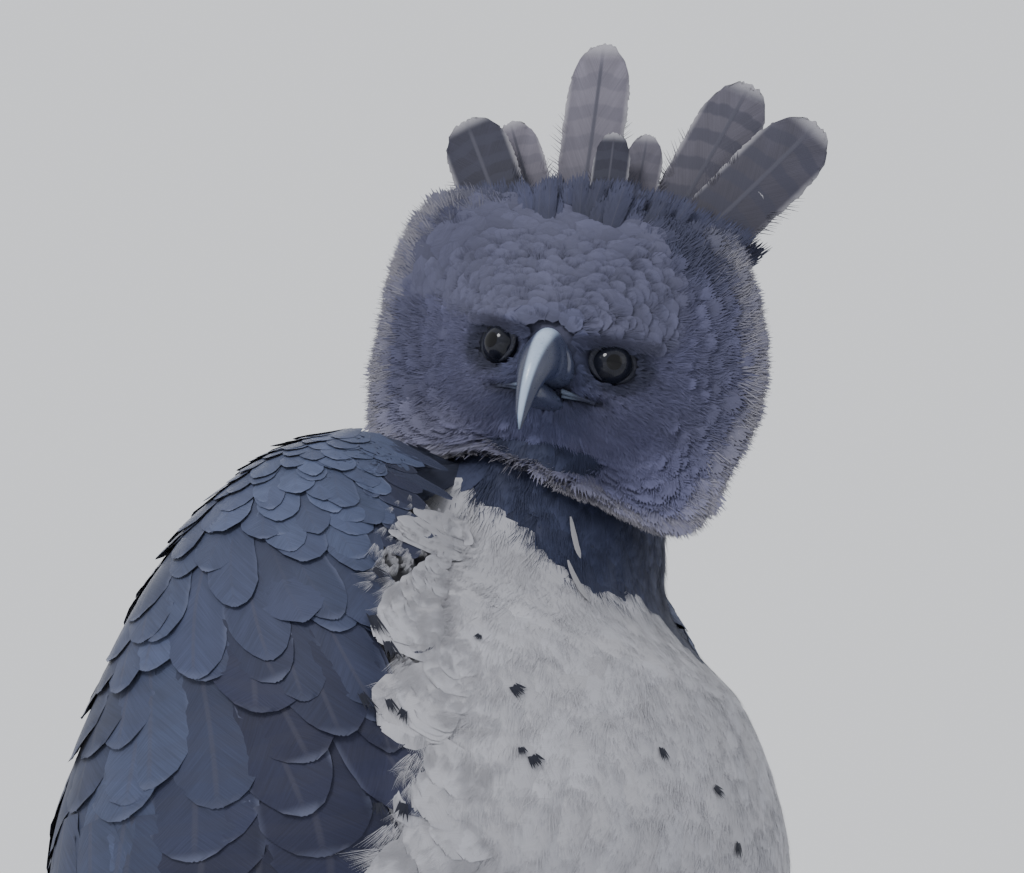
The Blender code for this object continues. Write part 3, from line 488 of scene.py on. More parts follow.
def blade(
    outline: Outline, rows: int, columns: int, seed: int, notch: float = 0.06, thick: bool = False
) -> Vane:
    """A closed vane: a grid whose width follows an outline, with a slightly broken edge.

    Args:
        outline: The feather's shape.
        rows: Points along it.
        columns: Points across it.
        seed: Seed of the broken edge.
        notch: How deep the breaks are, as a share of the half width.
        thick: Whether the vane has an under face and rim as well.

    Returns:
        The template.
    """
    chance = np.random.default_rng(seed)
    places, shares = (np.array(v) for v in outline.value)
    along = 1 - (1 - np.linspace(0, 1, rows)) ** 1.35
    share = np.interp(along, places, shares)
    across = np.linspace(-1, 1, columns)[None, :] * share[:, None]
    edge = np.abs(np.linspace(-1, 1, columns))[None, :] ** 3
    across = across * (1 - notch * edge * chance.random((rows, columns)))
    reach = along[:, None] - 0.1 * (np.abs(across) ** 2) * ease(along, 0.55, 1.0)[:, None]
    reach = reach + notch * 0.35 * (chance.random((rows, columns)) - 0.5) * along[:, None]
    rise = 0.05 * (chance.random((rows, columns)) - 0.5) * edge
    count = rows * columns
    faces = grid_faces(rows, columns)
    flat = [a.ravel() for a in (reach, across, rise)]
    if not thick:
        return Vane(*flat, np.zeros(count), faces)
    place = np.arange(count).reshape(rows, columns)
    rim = np.concatenate([place[0, :-1], place[:-1, -1], place[-1, :0:-1], place[:0:-1, 0]])
    after = np.roll(rim, -1)
    wall = np.stack([after, rim, rim + count, after + count], 1)
    under = np.concatenate([np.zeros(count), np.ones(count)])
    return Vane(*(np.tile(a, 2) for a in flat), under, np.concatenate([faces, faces[:, ::-1] + count, wall]))


def strips(root: Array, tip: Array, bow: Array, width: Array, chance: Chance) -> Vane:
    """Narrow tapering strips, each a grid of three rows and two columns.

    Args:
        root: Places along and across of each strip's root.
        tip: The same of its tip.
        bow: How far the middle stands ahead of the straight line, along the feather.
        width: Width of each strip along the feather.
        chance: Source of the small differences in height.

    Returns:
        The template of all strips.
    """
    count = len(root)
    at = np.array([0.0, 0.5, 1.0])[None, :, None]
    middle = root[:, None] + at * (tip - root)[:, None]
    middle[..., 0] += bow[:, None] * np.array([0.0, 1.0, 0.0])
    ahead = unit(tip - root)
    normal = np.stack([-ahead[:, 1], ahead[:, 0]], -1)[:, None, None]
    taper = np.array([1.0, 0.85, 0.12])[None, :, None, None]
    edge = np.array([-0.5, 0.5])[None, None, :, None]
    points = middle[:, :, None] + normal * taper * edge * width[:, None, None, None]
    rise = 0.16 * (chance.random(count) - 0.3)[:, None, None] * np.array([0, 0.5, 1.0])[None, :, None]
    rise = np.broadcast_to(rise, (count, 3, 2)).ravel()
    faces = (grid_faces(3, 2)[None] + 6 * np.arange(count)[:, None, None]).reshape(-1, 4)
    return Vane(points[..., 0].ravel(), points[..., 1].ravel(), rise, np.zeros(count * 6), faces)


def frayed(outline: Outline, rows: int, columns: int, strands: int, seed: int) -> Vane:
    """A soft feather: a smooth middle whose sides and tip break up into fine barbs.

    Args:
        outline: The feather's shape.
        rows: Points along its middle.
        columns: Points across its middle.
        strands: Barbs on each side; the tip has half as many more.
        seed: Seed of the small differences.

    Returns:
        The template.
    """
    chance = np.random.default_rng(seed)
    core = blade(outline, rows, columns, seed, 0.1)
    places, shares = (np.array(v) for v in outline.value)
    start = np.tile(np.linspace(0.18, 0.8, strands), 2) + 0.04 * (chance.random(2 * strands) - 0.5)
    side = np.repeat([-1.0, 1.0], strands)
    reach = 0.13 + 0.07 * chance.random(2 * strands)
    root = np.stack([start, side * np.interp(start, places, shares) * 0.7], -1)
    end = np.interp(np.clip(start + 0.8 * reach, 0, 1), places, shares)
    tip = np.stack([start + reach, side * end * (0.92 + 0.22 * chance.random(2 * strands))], -1)
    crown = np.linspace(-0.46, 0.46, strands // 2 + 2)
    root = np.concatenate([root, np.stack([0.74 + 0 * crown, crown], -1)])
    over = 0.96 + 0.08 * chance.random(len(crown)) - 0.2 * crown**2
    tip = np.concatenate([tip, np.stack([over, crown * 1.25], -1)])
    hair = strips(root, tip, np.zeros(len(root)), np.full(len(root), 1.1 / strands), chance)
    shrunk = Vane(core.along * 0.9, core.across * 0.88, core.rise, core.under, core.faces)
    return merged(shrunk, hair)


def merged(first: Vane, second: Vane) -> Vane:
    """Two templates as one."""
    fields = ("along", "across", "rise", "under")
    flat = [np.concatenate([getattr(vane, k) for vane in (first, second)]) for k in fields]
    return Vane(*flat, np.concatenate([first.faces, second.faces + len(first.along)]))


def tuft(strands: int, spread: float, seed: int, width: float = 0.15) -> Vane:
    """A tuft of hair-like strands of this width that fan out from one root.

    Args:
        strands: How many.
        spread: How far the tips fan out.
        seed: Start of its own random numbers.
        width: Each strand's width.

    Returns:
        The template.
    """
    chance = np.random.default_rng(seed)
    fan = np.linspace(-1, 1, strands) * spread + 0.35 * spread * (chance.random(strands) - 0.5)
    long = 0.62 + 0.38 * chance.random(strands)
    root = np.stack([0.12 * chance.random(strands), 0.55 * fan], -1)
    tip = np.stack([long, fan * 1.25], -1)
    return strips(root, tip, np.zeros(strands), np.full(strands, width), chance)


@dataclass
class Batch:
    """Feathers of one kind, before they are laid: values for each feather, or one for all."""

    half: Values
    # tone is each feather's colour at its root and tip at its tip; the darker root is painted shade under the
    # feathers that overlap it
    tone: Array
    tip: Array
    u: Values = 0.0
    v: Values = 0.0
    length: Values = 1.0
    heading: Values = 0.0
    root_lift: Values = 0.0
    tip_lift: Values = 0.002
    cup: float = 0.1
    dip: float = 0.0
    bars: Values = 0.0
    fringe: Values = 0.0
    shaft: Values = 0.0
    thick: float = 0.0

    def every(self, name: str) -> Array:
        """A field's values, one for each feather."""
        return np.broadcast_to(getattr(self, name), (len(self.tone),))

    def kept(self, keep: Array) -> "Batch":
        """The same batch with only the feathers that the mask keeps.

        Args:
            keep: True for each feather that stays.

        Returns:
            A new batch; values that hold for all feathers stay as they are.
        """
        values = dict(vars(self))
        for name, value in values.items():
            if isinstance(value, np.ndarray) and len(value) == len(keep):
                values[name] = value[keep]
        return Batch(**values)


def scatter(
    surface: Surface, u_range: tuple, v_range: tuple, step: Pace, gap: Pace, chance: Chance,
    jitter: float = 0.22,
) -> tuple[Array, Array, Array]:
    """Roots in staggered rows, spaced evenly in metres.

    Args:
        surface: The sheet the rows lie on.
        u_range: First and last row.
        v_range: The rows' two ends.
        step: Metres between rows, or a function of the share of the way.
        gap: Metres between roots in a row, or such a function.
        chance: Source of the small differences.
        jitter: Their size as a share of the spacing.

    Returns:
        The roots' two parameters and the share of the way from first row to last.
    """
    start, end = u_range
    sign = 1.0 if end > start else -1.0
    grid = np.linspace(*v_range, 97)
    u, row, found = start, 0, []
    while (end - u) * sign > 0:
        share = (u - start) / (end - start)
        pace, room = (rule(share) if callable(rule) else rule for rule in (step, gap))
        along, across = surface.metric(np.full(97, u), grid)
        arc = np.concatenate([[0.0], np.cumsum((across[1:] + across[:-1]) / 2 * np.diff(grid))])
        count = max(2, int(round(arc[-1] / room)))
        places = (np.arange(count) + 0.25 + 0.5 * (row % 2)) / count
        places = places + jitter * (chance.random(count) - 0.5) / count
        v = np.interp(places * arc[-1], arc, grid)
        drift = jitter * pace * (chance.random(count) - 0.5)
        found.append(np.stack([u + sign * drift / np.median(along), v, np.full(count, share)]))
        u += sign * pace / np.median(along)
        row += 1
    return tuple(np.concatenate(found, axis=1))


@dataclass
class Coat:
    """Many feathers gathered into one mesh, each with its own tone, marks and two UV maps."""

    name: str
    finish: "Finish"
    slot: str
    replaces: tuple
    seed: int = 1
    points: list = field(default_factory=list)
    faces: list = field(default_factory=list)
    tones: list = field(default_factory=list)
    traits: list = field(default_factory=list)
    vanes: list = field(default_factory=list)
    bakes: list = field(default_factory=list)
    roots: list = field(default_factory=list)
    count: int = 0

    def add(self, points: Array, vane: Vane, batch: Batch, place: Array, patch: float) -> None:
        """Takes feathers whose points are worked out.

        Args:
            points: Points, for each feather and each of the template's points.
            vane: The template.
            batch: The feathers' tones and marks.
            place: Each feather's place on the unwrap, from 0 to 1.
            patch: The size of its patch there.
        """
        number, each = points.shape[:2]
        if not number:
            return
        base = self.count + each * np.arange(number)
        self.faces.append((vane.faces[None] + base[:, None, None]).reshape(-1, 4))
        self.points.append(points.reshape(-1, 3))
        self.count += number * each
        # Root tone to tip tone along each feather: the darker root is painted shade under the overlapping
        # feathers
        share = ease(vane.along, 0.1, 0.95)[None, :]
        self.tones.append(blend(batch.tone[:, None], batch.tip[:, None], share).reshape(-1, 3))
        chance = np.random.default_rng(self.seed + self.count)
        marks = np.stack(
            [chance.random(number), batch.every("bars"), batch.every("fringe"), batch.every("shaft")], -1
        )
        self.traits.append(np.repeat(marks, each, axis=0))
        uv = np.stack([vane.across * 0.5 + 0.5, vane.along], -1)
        self.vanes.append(np.tile(uv, (number, 1)))
        inside = np.clip(uv * 0.9 + 0.03, 0, 1)
        self.bakes.append((place[:, None] + patch * inside[None]).reshape(-1, 2))
        self.roots.append((points[:, 0], batch.tone))

    def lay(self, surface: Surface, vane: Vane, batch: Batch, ahead: float, unwrap: tuple) -> None:
        """Lays feathers on a surface: length along its lie and width across it, turned by heading.

        Args:
            surface: The sheet they lie on.
            vane: The template.
            batch: The feathers.
            ahead: 1 where feathers point to larger u, -1 where to smaller.
            unwrap: The lowest u and v and the highest, which the unwrap spreads from 0 to 1.
        """
        u, v = batch.u[:, None], batch.v[:, None]
        along, across = surface.metric(u, v)
        names = ("length", "half", "heading", "root_lift", "tip_lift")
        length, half, turn, low, high = (batch.every(name)[:, None] for name in names)
        a, b = vane.along[None] * length, vane.across[None] * half
        du = ahead * (a * np.cos(turn) - b * np.sin(turn)) / along
        dv = (a * np.sin(turn) + b * np.cos(turn)) / across
        lift = low + (high - low) * np.clip(vane.along[None], 0, 2) ** 1.2
        cup = batch.cup * (1 - vane.across**2) * (1 - batch.dip * np.clip(vane.along, 0, 1) ** 3)
        lift = lift + half * (vane.rise + cup)[None]
        lift = lift - batch.thick * vane.under[None] * (1 - 0.6 * vane.along[None])
        points = surface.point(u + du, v + dv, lift)
        low_u, low_v, high_u, high_v = unwrap
        place = np.stack([(batch.v - low_v) / (high_v - low_v), (batch.u - low_u) / (high_u - low_u)], -1)
        self.add(points, vane, batch, 0.004 + 0.988 * np.clip(place, 0, 1), 0.003)

    def mix(
        self, surface: Surface, vanes: list, batch: Batch, chance: Chance, ahead: float, unwrap: tuple
    ) -> None:
        """Lays feathers, each by one of the templates.

        Args:
            surface: The sheet they lie on.
            vanes: The templates.
            batch: The feathers.
            chance: Picks each feather's template.
            ahead: As for lay.
            unwrap: As for lay.
        """
        kind = chance.integers(0, len(vanes), len(batch.u))
        for number, vane in enumerate(vanes):
            self.lay(surface, vane, batch.kept(kind == number), ahead, unwrap)

    def carry(self, vane: Vane, batch: Batch, bends: Array, across: Array) -> None:
        """Carries feathers along quadratic curves, one for each.

        Args:
            vane: The template.
            batch: The feathers.
            bends: Root, bend and tip of each curve.
            across: Direction across each feather.
        """
        s = vane.along[None, :, None]
        root, bend, tip = (bends[:, k][:, None] for k in range(3))
        path = (1 - s) ** 2 * root + 2 * s * (1 - s) * bend + s**2 * tip
        ahead = unit((1 - s) * (bend - root) + s * (tip - bend))
        side = unit(across[:, None] - (across[:, None] * ahead).sum(-1, keepdims=True) * ahead)
        half = batch.every("half")[:, None, None]
        height = half * (vane.rise + batch.cup * (1 - vane.across**2))[None, :, None]
        height = height - batch.thick * (vane.under * (1 - 0.6 * vane.along))[None, :, None]
        points = path + half * vane.across[None, :, None] * side + height * np.cross(side, ahead)
        cells = math.ceil(math.sqrt(len(bends)))
        number = np.arange(len(bends))
        place = np.stack([number % cells, number // cells], -1) / cells
        self.add(points, vane, batch, place, 0.96 / cells)

    def build(self) -> bpy.types.Object:
        """Makes the mesh, with its tones, marks and UV maps, and gives it its finish."""
        points, faces = np.concatenate(self.points), np.concatenate(self.faces)
        made = mesh_object(self.name, points, faces)
        put_colour(made.data, "Tone", np.concatenate(self.tones))
        put_colour(made.data, "Trait", np.concatenate(self.traits))
        for name, values in (("Vane", self.vanes), ("OFBake", self.bakes)):
            layer = made.data.uv_layers.new(name=name)
            layer.uv.foreach_set("vector", np.concatenate(values)[faces.ravel()].astype(np.float32).ravel())
        dress(made, self.finish, self.replaces)
        LOG.info("%s: %d faces, %d points", self.name, len(faces), len(points))
        return made


def mesh_object(name: str, points: Array, faces: Array, smooth: bool = True) -> bpy.types.Object:
    """An object at the origin with these points and three- or four-cornered faces.

    Args:
        name: The object's name.
        points: Its points.
        faces: Point numbers of each face.
        smooth: Whether it is shaded smooth.

    Returns:
        The object, linked to the scene.
    """
    mesh = bpy.data.meshes.new(name)
    mesh.vertices.add(len(points))
    mesh.vertices.foreach_set("co", np.ascontiguousarray(points, np.float32).ravel())
    corners = faces.shape[1]
    mesh.loops.add(faces.size)
    mesh.loops.foreach_set("vertex_index", faces.astype(np.int32).ravel())
    mesh.polygons.add(len(faces))
    mesh.polygons.foreach_set("loop_start", np.arange(0, faces.size, corners, dtype=np.int32))
    mesh.update(calc_edges=True)
    if smooth:
        mesh.shade_smooth()
    made = bpy.data.objects.new(name, mesh)
    bpy.context.scene.collection.objects.link(made)
    return made


def put_colour(mesh: bpy.types.Mesh, name: str, values: Array) -> None:
    """Stores a colour for each point of a mesh.

    Args:
        mesh: The mesh.
        name: The attribute's name.
        values: One colour for all points or one for each; three numbers get a fourth of 1.
    """
    values = np.broadcast_to(values, (len(mesh.vertices), np.shape(values)[-1]))
    values = np.pad(values, ((0, 0), (0, 4 - values.shape[1])), constant_values=1.0)
    layer = mesh.color_attributes.new(name, "FLOAT_COLOR", "POINT")
    layer.data.foreach_set("color", np.ascontiguousarray(values, np.float32).ravel())


def dress(made: bpy.types.Object, finish: "Finish", nodes: tuple) -> None:
    """Gives a piece its material, hangs it under the root body and hides the nodes it stands for.

    Args:
        made: The piece.
        finish: Its finish.
        nodes: The nodes it stands for.
    """
    made.data.materials.append(finish.material())
    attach(made, "root")
    if nodes:
        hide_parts(*nodes)


def closed_tube(rings: Array) -> tuple[Array, Array]:
    """Points and faces of a tube through rings, each end closed by a small ring folded to a slit."""
    count, around = rings.shape[:2]
    caps = [rings[k].mean(0) + 0.02 * (rings[k] - rings[k].mean(0)) for k in (0, -1)]
    rings = np.concatenate([caps[0][None], rings, caps[1][None]])
    place = np.arange((count + 2) * around).reshape(count + 2, around)
    right = np.roll(place, -1, axis=1)
    faces = np.stack([place[:-1], right[:-1], right[1:], place[1:]], -1).reshape(-1, 4)
    half = around // 2
    near, far = np.arange(half - 1), around - 1 - np.arange(half - 1)
    first = np.stack([near, far, far - 1, near + 1], -1)
    last = first[:, ::-1] + (count + 1) * around
    return rings.reshape(-1, 3), np.concatenate([faces, first, last])


def outward(points: Array, faces: Array) -> Array:
    """The faces, turned round if the closed mesh they make is inside out."""
    middle = points.mean(0)
    a, b, c = (points[faces[:, k]] - middle for k in range(3))
    d = points[faces[:, -1]] - middle
    volume = np.einsum("ij,ij->", a, np.cross(b, c)) + np.einsum("ij,ij->", a, np.cross(c, d))
    return faces if volume > 0 else faces[:, ::-1]


def joined(parts: list) -> tuple[Array, Array]:
    """Closed parts as one list of points and one of faces, all outwards.

    Args:
        parts: Points and faces of each part.

    Returns:
        The points of all parts, and their faces, numbered on.
    """
    starts = np.cumsum([0] + [len(points) for points, _ in parts])
    faces = [outward(*part) + start for part, start in zip(parts, starts)]
    return np.concatenate([points for points, _ in parts]), np.concatenate(faces)


def fused(name: str, parts: list, voxel: float, passes: int) -> bpy.types.Object:
    """One skin round closed parts: joined, remeshed in small cubes and smoothed.

    Args:
        name: The piece's name.
        parts: Points and faces of each part.
        voxel: The cubes' size.
        passes: How often it is smoothed.

    Returns:
        The piece, with its modifiers applied.
    """
    made = mesh_object(name, *joined(parts))
    remesh = made.modifiers.new("join", "REMESH")
    remesh.mode = "VOXEL"
    remesh.voxel_size = voxel
    made.modifiers.new("soften", "SMOOTH").iterations = passes
    mesh = bpy.data.meshes.new_from_object(made.evaluated_get(bpy.context.evaluated_depsgraph_get()))
    made.modifiers.clear()
    made.data = mesh
    mesh.shade_smooth()
    return made


def turned_piece(
    name: str, rings: Array, finish: "Finish", node: str, colour: Array | None = None,
    layer: str = "Tone",
) -> bpy.types.Object:
    """A closed piece through rings, in its finish.

    Args:
        name: The piece's name.
        rings: Points of each ring.
        finish: Its finish.
        node: The node it stands for.
        colour: One colour for all, or one for each of the rings' points.
        layer: The attribute that holds it.

    Returns:
        The piece.
    """
    points, faces = closed_tube(rings)
    made = mesh_object(name, points, outward(points, faces))
    if colour is not None and np.ndim(colour) == 3:
        colour = np.concatenate([colour[:1], colour, colour[-1:]]).reshape(len(points), -1)
    if colour is not None:
        put_colour(made.data, layer, colour)
    dress(made, finish, (node,))
    return made


def shell(outer: Array, inner: Array) -> tuple[Array, Array]:
    """Points and faces of a closed sheet between two grids."""
    rows, columns = outer.shape[:2]
    points = np.concatenate([outer.reshape(-1, 3), inner.reshape(-1, 3)])
    front = grid_faces(rows, columns)
    place = np.arange(rows * columns).reshape(rows, columns)
    rim = np.concatenate([place[0, :-1], place[:-1, -1], place[-1, :0:-1], place[:0:-1, 0]])
    after = np.roll(rim, -1)
    under = rows * columns
    wall = np.stack([after, rim, rim + under, after + under], 1)
    return points, np.concatenate([front, front[:, ::-1] + under, wall])


def tube(path: Array, radius: Array, around: int, across: Array, squash: float = 1.0) -> Array:
    """Rings square to a path, of the radius given at each of its points, flattened by squash.

    Args:
        path: Points of the middle line.
        radius: Half thickness at each.
        around: Points round each ring.
        across: A direction across the path.
        squash: Height as a share of the width.

    Returns:
        Points of each ring.
    """
    ahead = unit(np.gradient(path, axis=0))
    side = unit(across - (ahead @ across)[:, None] * ahead)
    other = np.cross(ahead, side)
    turn = full_turn(around)
    wide = np.broadcast_to(radius, (len(path),))[:, None]
    return (
        path[:, None]
        + (wide * np.cos(turn))[..., None] * side[:, None]
        + (wide * squash * np.sin(turn))[..., None] * other[:, None]
    )


class Wire:
    """A value in a material's node tree, on which Python's operators add Math nodes."""

    def __init__(self, shader: "Shader", socket: bpy.types.NodeSocket) -> None:
        """Wraps an output socket."""
        self.shader = shader
        self.socket = socket

    def math(self, operation: str, *values: "Wire | float") -> "Wire":
        """A Math node of this operation on the given values."""
        return self.shader.node("ShaderNodeMath", {"operation": operation}, dict(enumerate(values)))

    def __add__(self, other: "Wire | float") -> "Wire":
        """Sum."""
        return self.math("ADD", self, other)

    def __radd__(self, other: float) -> "Wire":
        """Sum, with the number first."""
        return self.math("ADD", other, self)

    def __sub__(self, other: "Wire | float") -> "Wire":
        """Difference."""
        return self.math("SUBTRACT", self, other)

    def __rsub__(self, other: float) -> "Wire":
        """Difference, with the number first."""
        return self.math("SUBTRACT", other, self)

    def __mul__(self, other: "Wire | float") -> "Wire":
        """Product."""
        return self.math("MULTIPLY", self, other)

    def __rmul__(self, other: float) -> "Wire":
        """Product, with the number first."""
        return self.math("MULTIPLY", other, self)

    def __abs__(self) -> "Wire":
        """Distance from zero."""
        return self.math("ABSOLUTE", self)

    def sine(self) -> "Wire":
        """Sine of the value in radians."""
        return self.math("SINE", self)

    def larger(self, other: "Wire | float") -> "Wire":
        """The larger of the two."""
        return self.math("MAXIMUM", self, other)

    def ease(self, low: float, high: float) -> "Wire":
        """0 at low and 1 at high, smooth between, whichever of the two is larger."""
        sockets = {"Value": self, "From Min": low, "From Max": high}
        return self.shader.node("ShaderNodeMapRange", {"interpolation_type": "SMOOTHSTEP"}, sockets)


class Shader:
    """A material's node tree with one Principled shader."""

    def __init__(self, name: str, roughness: float, uniform: dict | None = None) -> None:
        """Starts a material whose uniform values are set on the shader's own sockets."""
        self.made = bpy.data.materials.new(name)
        self.made.use_nodes = True
        self.tree = self.made.node_tree
        self.principled = self.tree.nodes["Principled BSDF"]
        self.principled.inputs["Roughness"].default_value = roughness
        for socket, value in (uniform or {}).items():
            self.principled.inputs[socket].default_value = value

    def node(self, kind: str, settings: dict, sockets: dict, out: int | str = 0) -> Wire:
        """Adds a node: its settings first, then the values or links of its sockets.

        Args:
            kind: The node's type.
            settings: Its properties; "stops" is a ramp's list of places and colours.
            sockets: Values or wires by socket name or number.
            out: The output to return.

        Returns:
            The output as a wire.
        """
        made = self.tree.nodes.new(kind)
        for name, value in settings.items():
            if name == "stops":
                self.stops(made.color_ramp, value)
            else:
                setattr(made, name, value)
        for name, value in sockets.items():
            self.feed(made.inputs[name], value)
        return Wire(self, made.outputs[out])

    @staticmethod
    def stops(ramp: bpy.types.ColorRamp, stops: list) -> None:
        """Sets a ramp's places and colours."""
        while len(ramp.elements) < len(stops):
            ramp.elements.new(1.0)
        for element, (place, colour) in zip(ramp.elements, stops):
            element.position = place
            element.color = (*colour, 1.0)

    def feed(self, socket: bpy.types.NodeSocket, value: "Wire | float | tuple") -> None:
        """Links a wire to a socket, or sets its value."""
        if isinstance(value, Wire):
            self.tree.links.new(value.socket, socket)
        else:
            socket.default_value = value

    def mix(self, share: "Wire | float", first: "Wire | tuple", second: "Wire | tuple") -> Wire:
        """A colour between two."""
        pair = [c if isinstance(c, Wire) else (*c, 1.0) for c in (first, second)]
        return self.node("ShaderNodeMix", {"data_type": "RGBA"}, {0: share, 6: pair[0], 7: pair[1]}, 2)

    def scaled(self, colour: Wire, amount: Wire) -> Wire:
        """A colour made lighter or darker by a factor."""
        return self.node("ShaderNodeVectorMath", {"operation": "SCALE"}, {0: colour, "Scale": amount})

    def place(self) -> Wire:
        """Object coordinates."""
        return self.node("ShaderNodeTexCoord", {}, {}, "Object")

    def stretched(self, vector: Wire, scale: tuple) -> Wire:
        """A vector scaled along each axis."""
        return self.node("ShaderNodeMapping", {}, {"Vector": vector, "Scale": scale})

    def noise(self, vector: Wire, scale: float, detail: float = 3.0, rough: float = 0.55) -> Wire:
        """Fractal noise from 0 to 1."""
        sockets = {"Vector": vector, "Scale": scale, "Detail": detail, "Roughness": rough}
        return self.node("ShaderNodeTexNoise", {}, sockets)

    def cells(self, vector: Wire, scale: float) -> Wire:
        """Distance to the edge of irregular cells."""
        settings = {"feature": "DISTANCE_TO_EDGE"}
        return self.node("ShaderNodeTexVoronoi", settings, {"Vector": vector, "Scale": scale})

    def attribute(self, name: str, out: str = "Color") -> Wire:
        """A value stored on the mesh."""
        return self.node("ShaderNodeAttribute", {"attribute_name": name}, {}, out)

    def parts(self, vector: Wire) -> list[Wire]:
        """The three numbers of a vector or colour."""
        return [self.node("ShaderNodeSeparateXYZ", {}, {0: vector}, k) for k in range(3)]

    def joined(self, x: "Wire | float", y: "Wire | float", z: "Wire | float") -> Wire:
        """A vector from three numbers."""
        return self.node("ShaderNodeCombineXYZ", {}, {0: x, 1: y, 2: z})

    def bump(self, height: Wire, strength: float, distance: float) -> None:
        """Feeds the shader's normal from a height."""
        sockets = {"Height": height, "Strength": strength, "Distance": distance}
        self.feed(self.principled.inputs["Normal"], self.node("ShaderNodeBump", {}, sockets))

    def colour(self, value: Wire) -> None:
        """Feeds the shader's base colour."""
        self.feed(self.principled.inputs["Base Color"], value)

    def rough(self, value: Wire) -> None:
        """Feeds the shader's roughness."""
        self.feed(self.principled.inputs["Roughness"], value)


MADE: dict = {}


@dataclass(frozen=True)
class Finish:
    """The surface of a kind of piece."""

    name: str

    def material(self) -> bpy.types.Material:
        """The finish's material, made once."""
        if self.name not in MADE:
            MADE[self.name] = self.make()
        return MADE[self.name]

    def make(self) -> bpy.types.Material:
        """Builds the material."""
        raise NotImplementedError


@dataclass(frozen=True)
class Plumage(Finish):
    """Feathers: the stored tone with fine barbs, a shaft, a fringe and bars across the vane."""

    streak: float = 0.22
    patch: float = 0.16
    barb_count: float = 60.0
    bar_count: float = 5.0
    bar_colour: Colour = (0.03, 0.03, 0.04)
    fringe_colour: Colour = (0.3, 0.31, 0.36)
    shaft_colour: Colour = (0.05, 0.05, 0.07)
    roughness: float = 0.68
    sheen: float = 0.04

    def make(self) -> bpy.types.Material:
        """Barbs are noise along slanted lines of the vane's own UV map."""
        shader = Shader(self.name, self.roughness, {"Sheen Weight": self.sheen, "Specular IOR Level": 0.28})
        tone = shader.attribute("Tone")
        random, bars, fringe = shader.parts(shader.attribute("Trait", "Vector"))
        shaft = shader.attribute("Trait", "Alpha")
        across, along, _ = shader.parts(shader.node("ShaderNodeUVMap", {"uv_map": "Vane"}, {}))
        away = abs(across * 2.0 - 1.0)
        slant = along * self.barb_count - away * (self.barb_count * 0.3)
        fine = shader.noise(shader.joined(slant, random * 57.0, away * 1.4), 1.0, 2.0)
        wide = shader.noise(shader.joined(along * 5.0 - away * 1.6, random * 91.0, away), 1.0, 2.0)
        value = (fine - 0.5) * (2.2 * self.streak) + (wide - 0.5) * (2.0 * self.patch) + 1.0
        colour = shader.scaled(tone, value + (random - 0.5) * 0.1)
        wave = (along * (6.2832 * self.bar_count) + away * 1.2 + wide * 2.5 + random * 1.5).sine()
        colour = shader.mix(wave.ease(-0.15, 0.45) * bars, colour, self.bar_colour)
        rim = away.ease(0.8, 1.0).larger(along.ease(0.92, 1.0))
        colour = shader.mix(rim * fringe, colour, self.fringe_colour)
        line = away.ease(0.085, 0.02) * along.ease(1.0, 0.85) * shaft
        colour = shader.mix(line, colour, self.shaft_colour)
        shader.colour(colour)
        shader.bump(fine + line * 1.5, 0.3, 0.0005)
        return shader.made


@dataclass(frozen=True)
class Hide(Finish):
    """Skin below the feathers, in the coat's own markings, darker."""

    depth: float = 0.92

    def make(self) -> bpy.types.Material:
        """The stored tone, darkened and mottled by noise."""
        shader = Shader(self.name, 0.85)
        grain = shader.noise(shader.place(), 260.0)
        shader.colour(shader.scaled(shader.attribute("Tone"), grain * 0.5 + (self.depth - 0.25)))
        shader.bump(grain, 0.4, 0.001)
        return shader.made


@dataclass(frozen=True)
class Horn(Finish):
    """Bill and claws: the stored tone with fine growth lines under a thin gloss."""

    roughness: float = 0.34
    line_scale: float = 90.0
    gloss: float = 0.25

    def make(self) -> bpy.types.Material:
        """Growth lines are noise stretched along the piece, scuffs a finer noise."""
        shader = Shader(self.name, self.roughness, {"Coat Weight": self.gloss, "Coat Roughness": 0.25})
        place = shader.place()
        lines = shader.noise(place, self.line_scale, 5.0)
        scuff = shader.noise(place, 900.0, 2.0)
        shader.colour(shader.scaled(shader.attribute("Tone"), lines * 0.55 + scuff * 0.2 + 0.62))
        shader.rough(scuff.ease(0.3, 0.8) * 0.25 + (self.roughness - 0.08))
        shader.bump(lines + scuff * 0.4, 0.12, 0.0006)
        return shader.made


@dataclass(frozen=True)
class Leather(Finish):
    """Bare skin of legs, lids and mouth's corner: the stored tone in small scales."""

    scale: float = 330.0
    crease: float = 0.45
    roughness: float = 0.55

    def make(self) -> bpy.types.Material:
        """Scales are irregular cells, darker along their edges."""
        shader = Shader(self.name, self.roughness, {"Specular IOR Level": 0.4})
        place = shader.place()
        warp = shader.noise(place, 60.0, 2.0)
        edge = shader.cells(place, self.scale).ease(0.0, 0.16)
        value = edge * self.crease + warp * 0.35 + (0.82 - self.crease)
        shader.colour(shader.scaled(shader.attribute("Tone"), value))
        shader.bump(edge, 0.55, 0.0007)
        return shader.made


@dataclass(frozen=True)
class Eyeball(Finish):
    """A wet eye: pupil, streaked iris and a dark rim, by the angle from where it looks."""

    pupil: float = 0.36
    iris: float = 0.8
    iris_colour: Colour = (0.018, 0.019, 0.028)
    rim_colour: Colour = (0.006, 0.007, 0.012)

    def make(self) -> bpy.types.Material:
        """Rings by the stored angle, with noise that follows the iris's rays."""
        shader = Shader(self.name, 0.08, {"Specular IOR Level": 0.2, "Coat Weight": 0.08})
        angle, spoke, _ = shader.parts(shader.attribute("Gaze", "Vector"))
        rays = shader.noise(shader.joined(spoke * 40.0, angle * 3.0, 0.0), 1.0, 3.0)
        iris = shader.mix(rays.ease(0.35, 0.75), self.rim_colour, self.iris_colour)
        iris = shader.mix(angle.ease(self.iris - 0.16, self.iris), iris, self.rim_colour)
        shader.colour(shader.mix(angle.ease(self.pupil, self.pupil - 0.05), iris, (0.002, 0.002, 0.003)))
        return shader.made


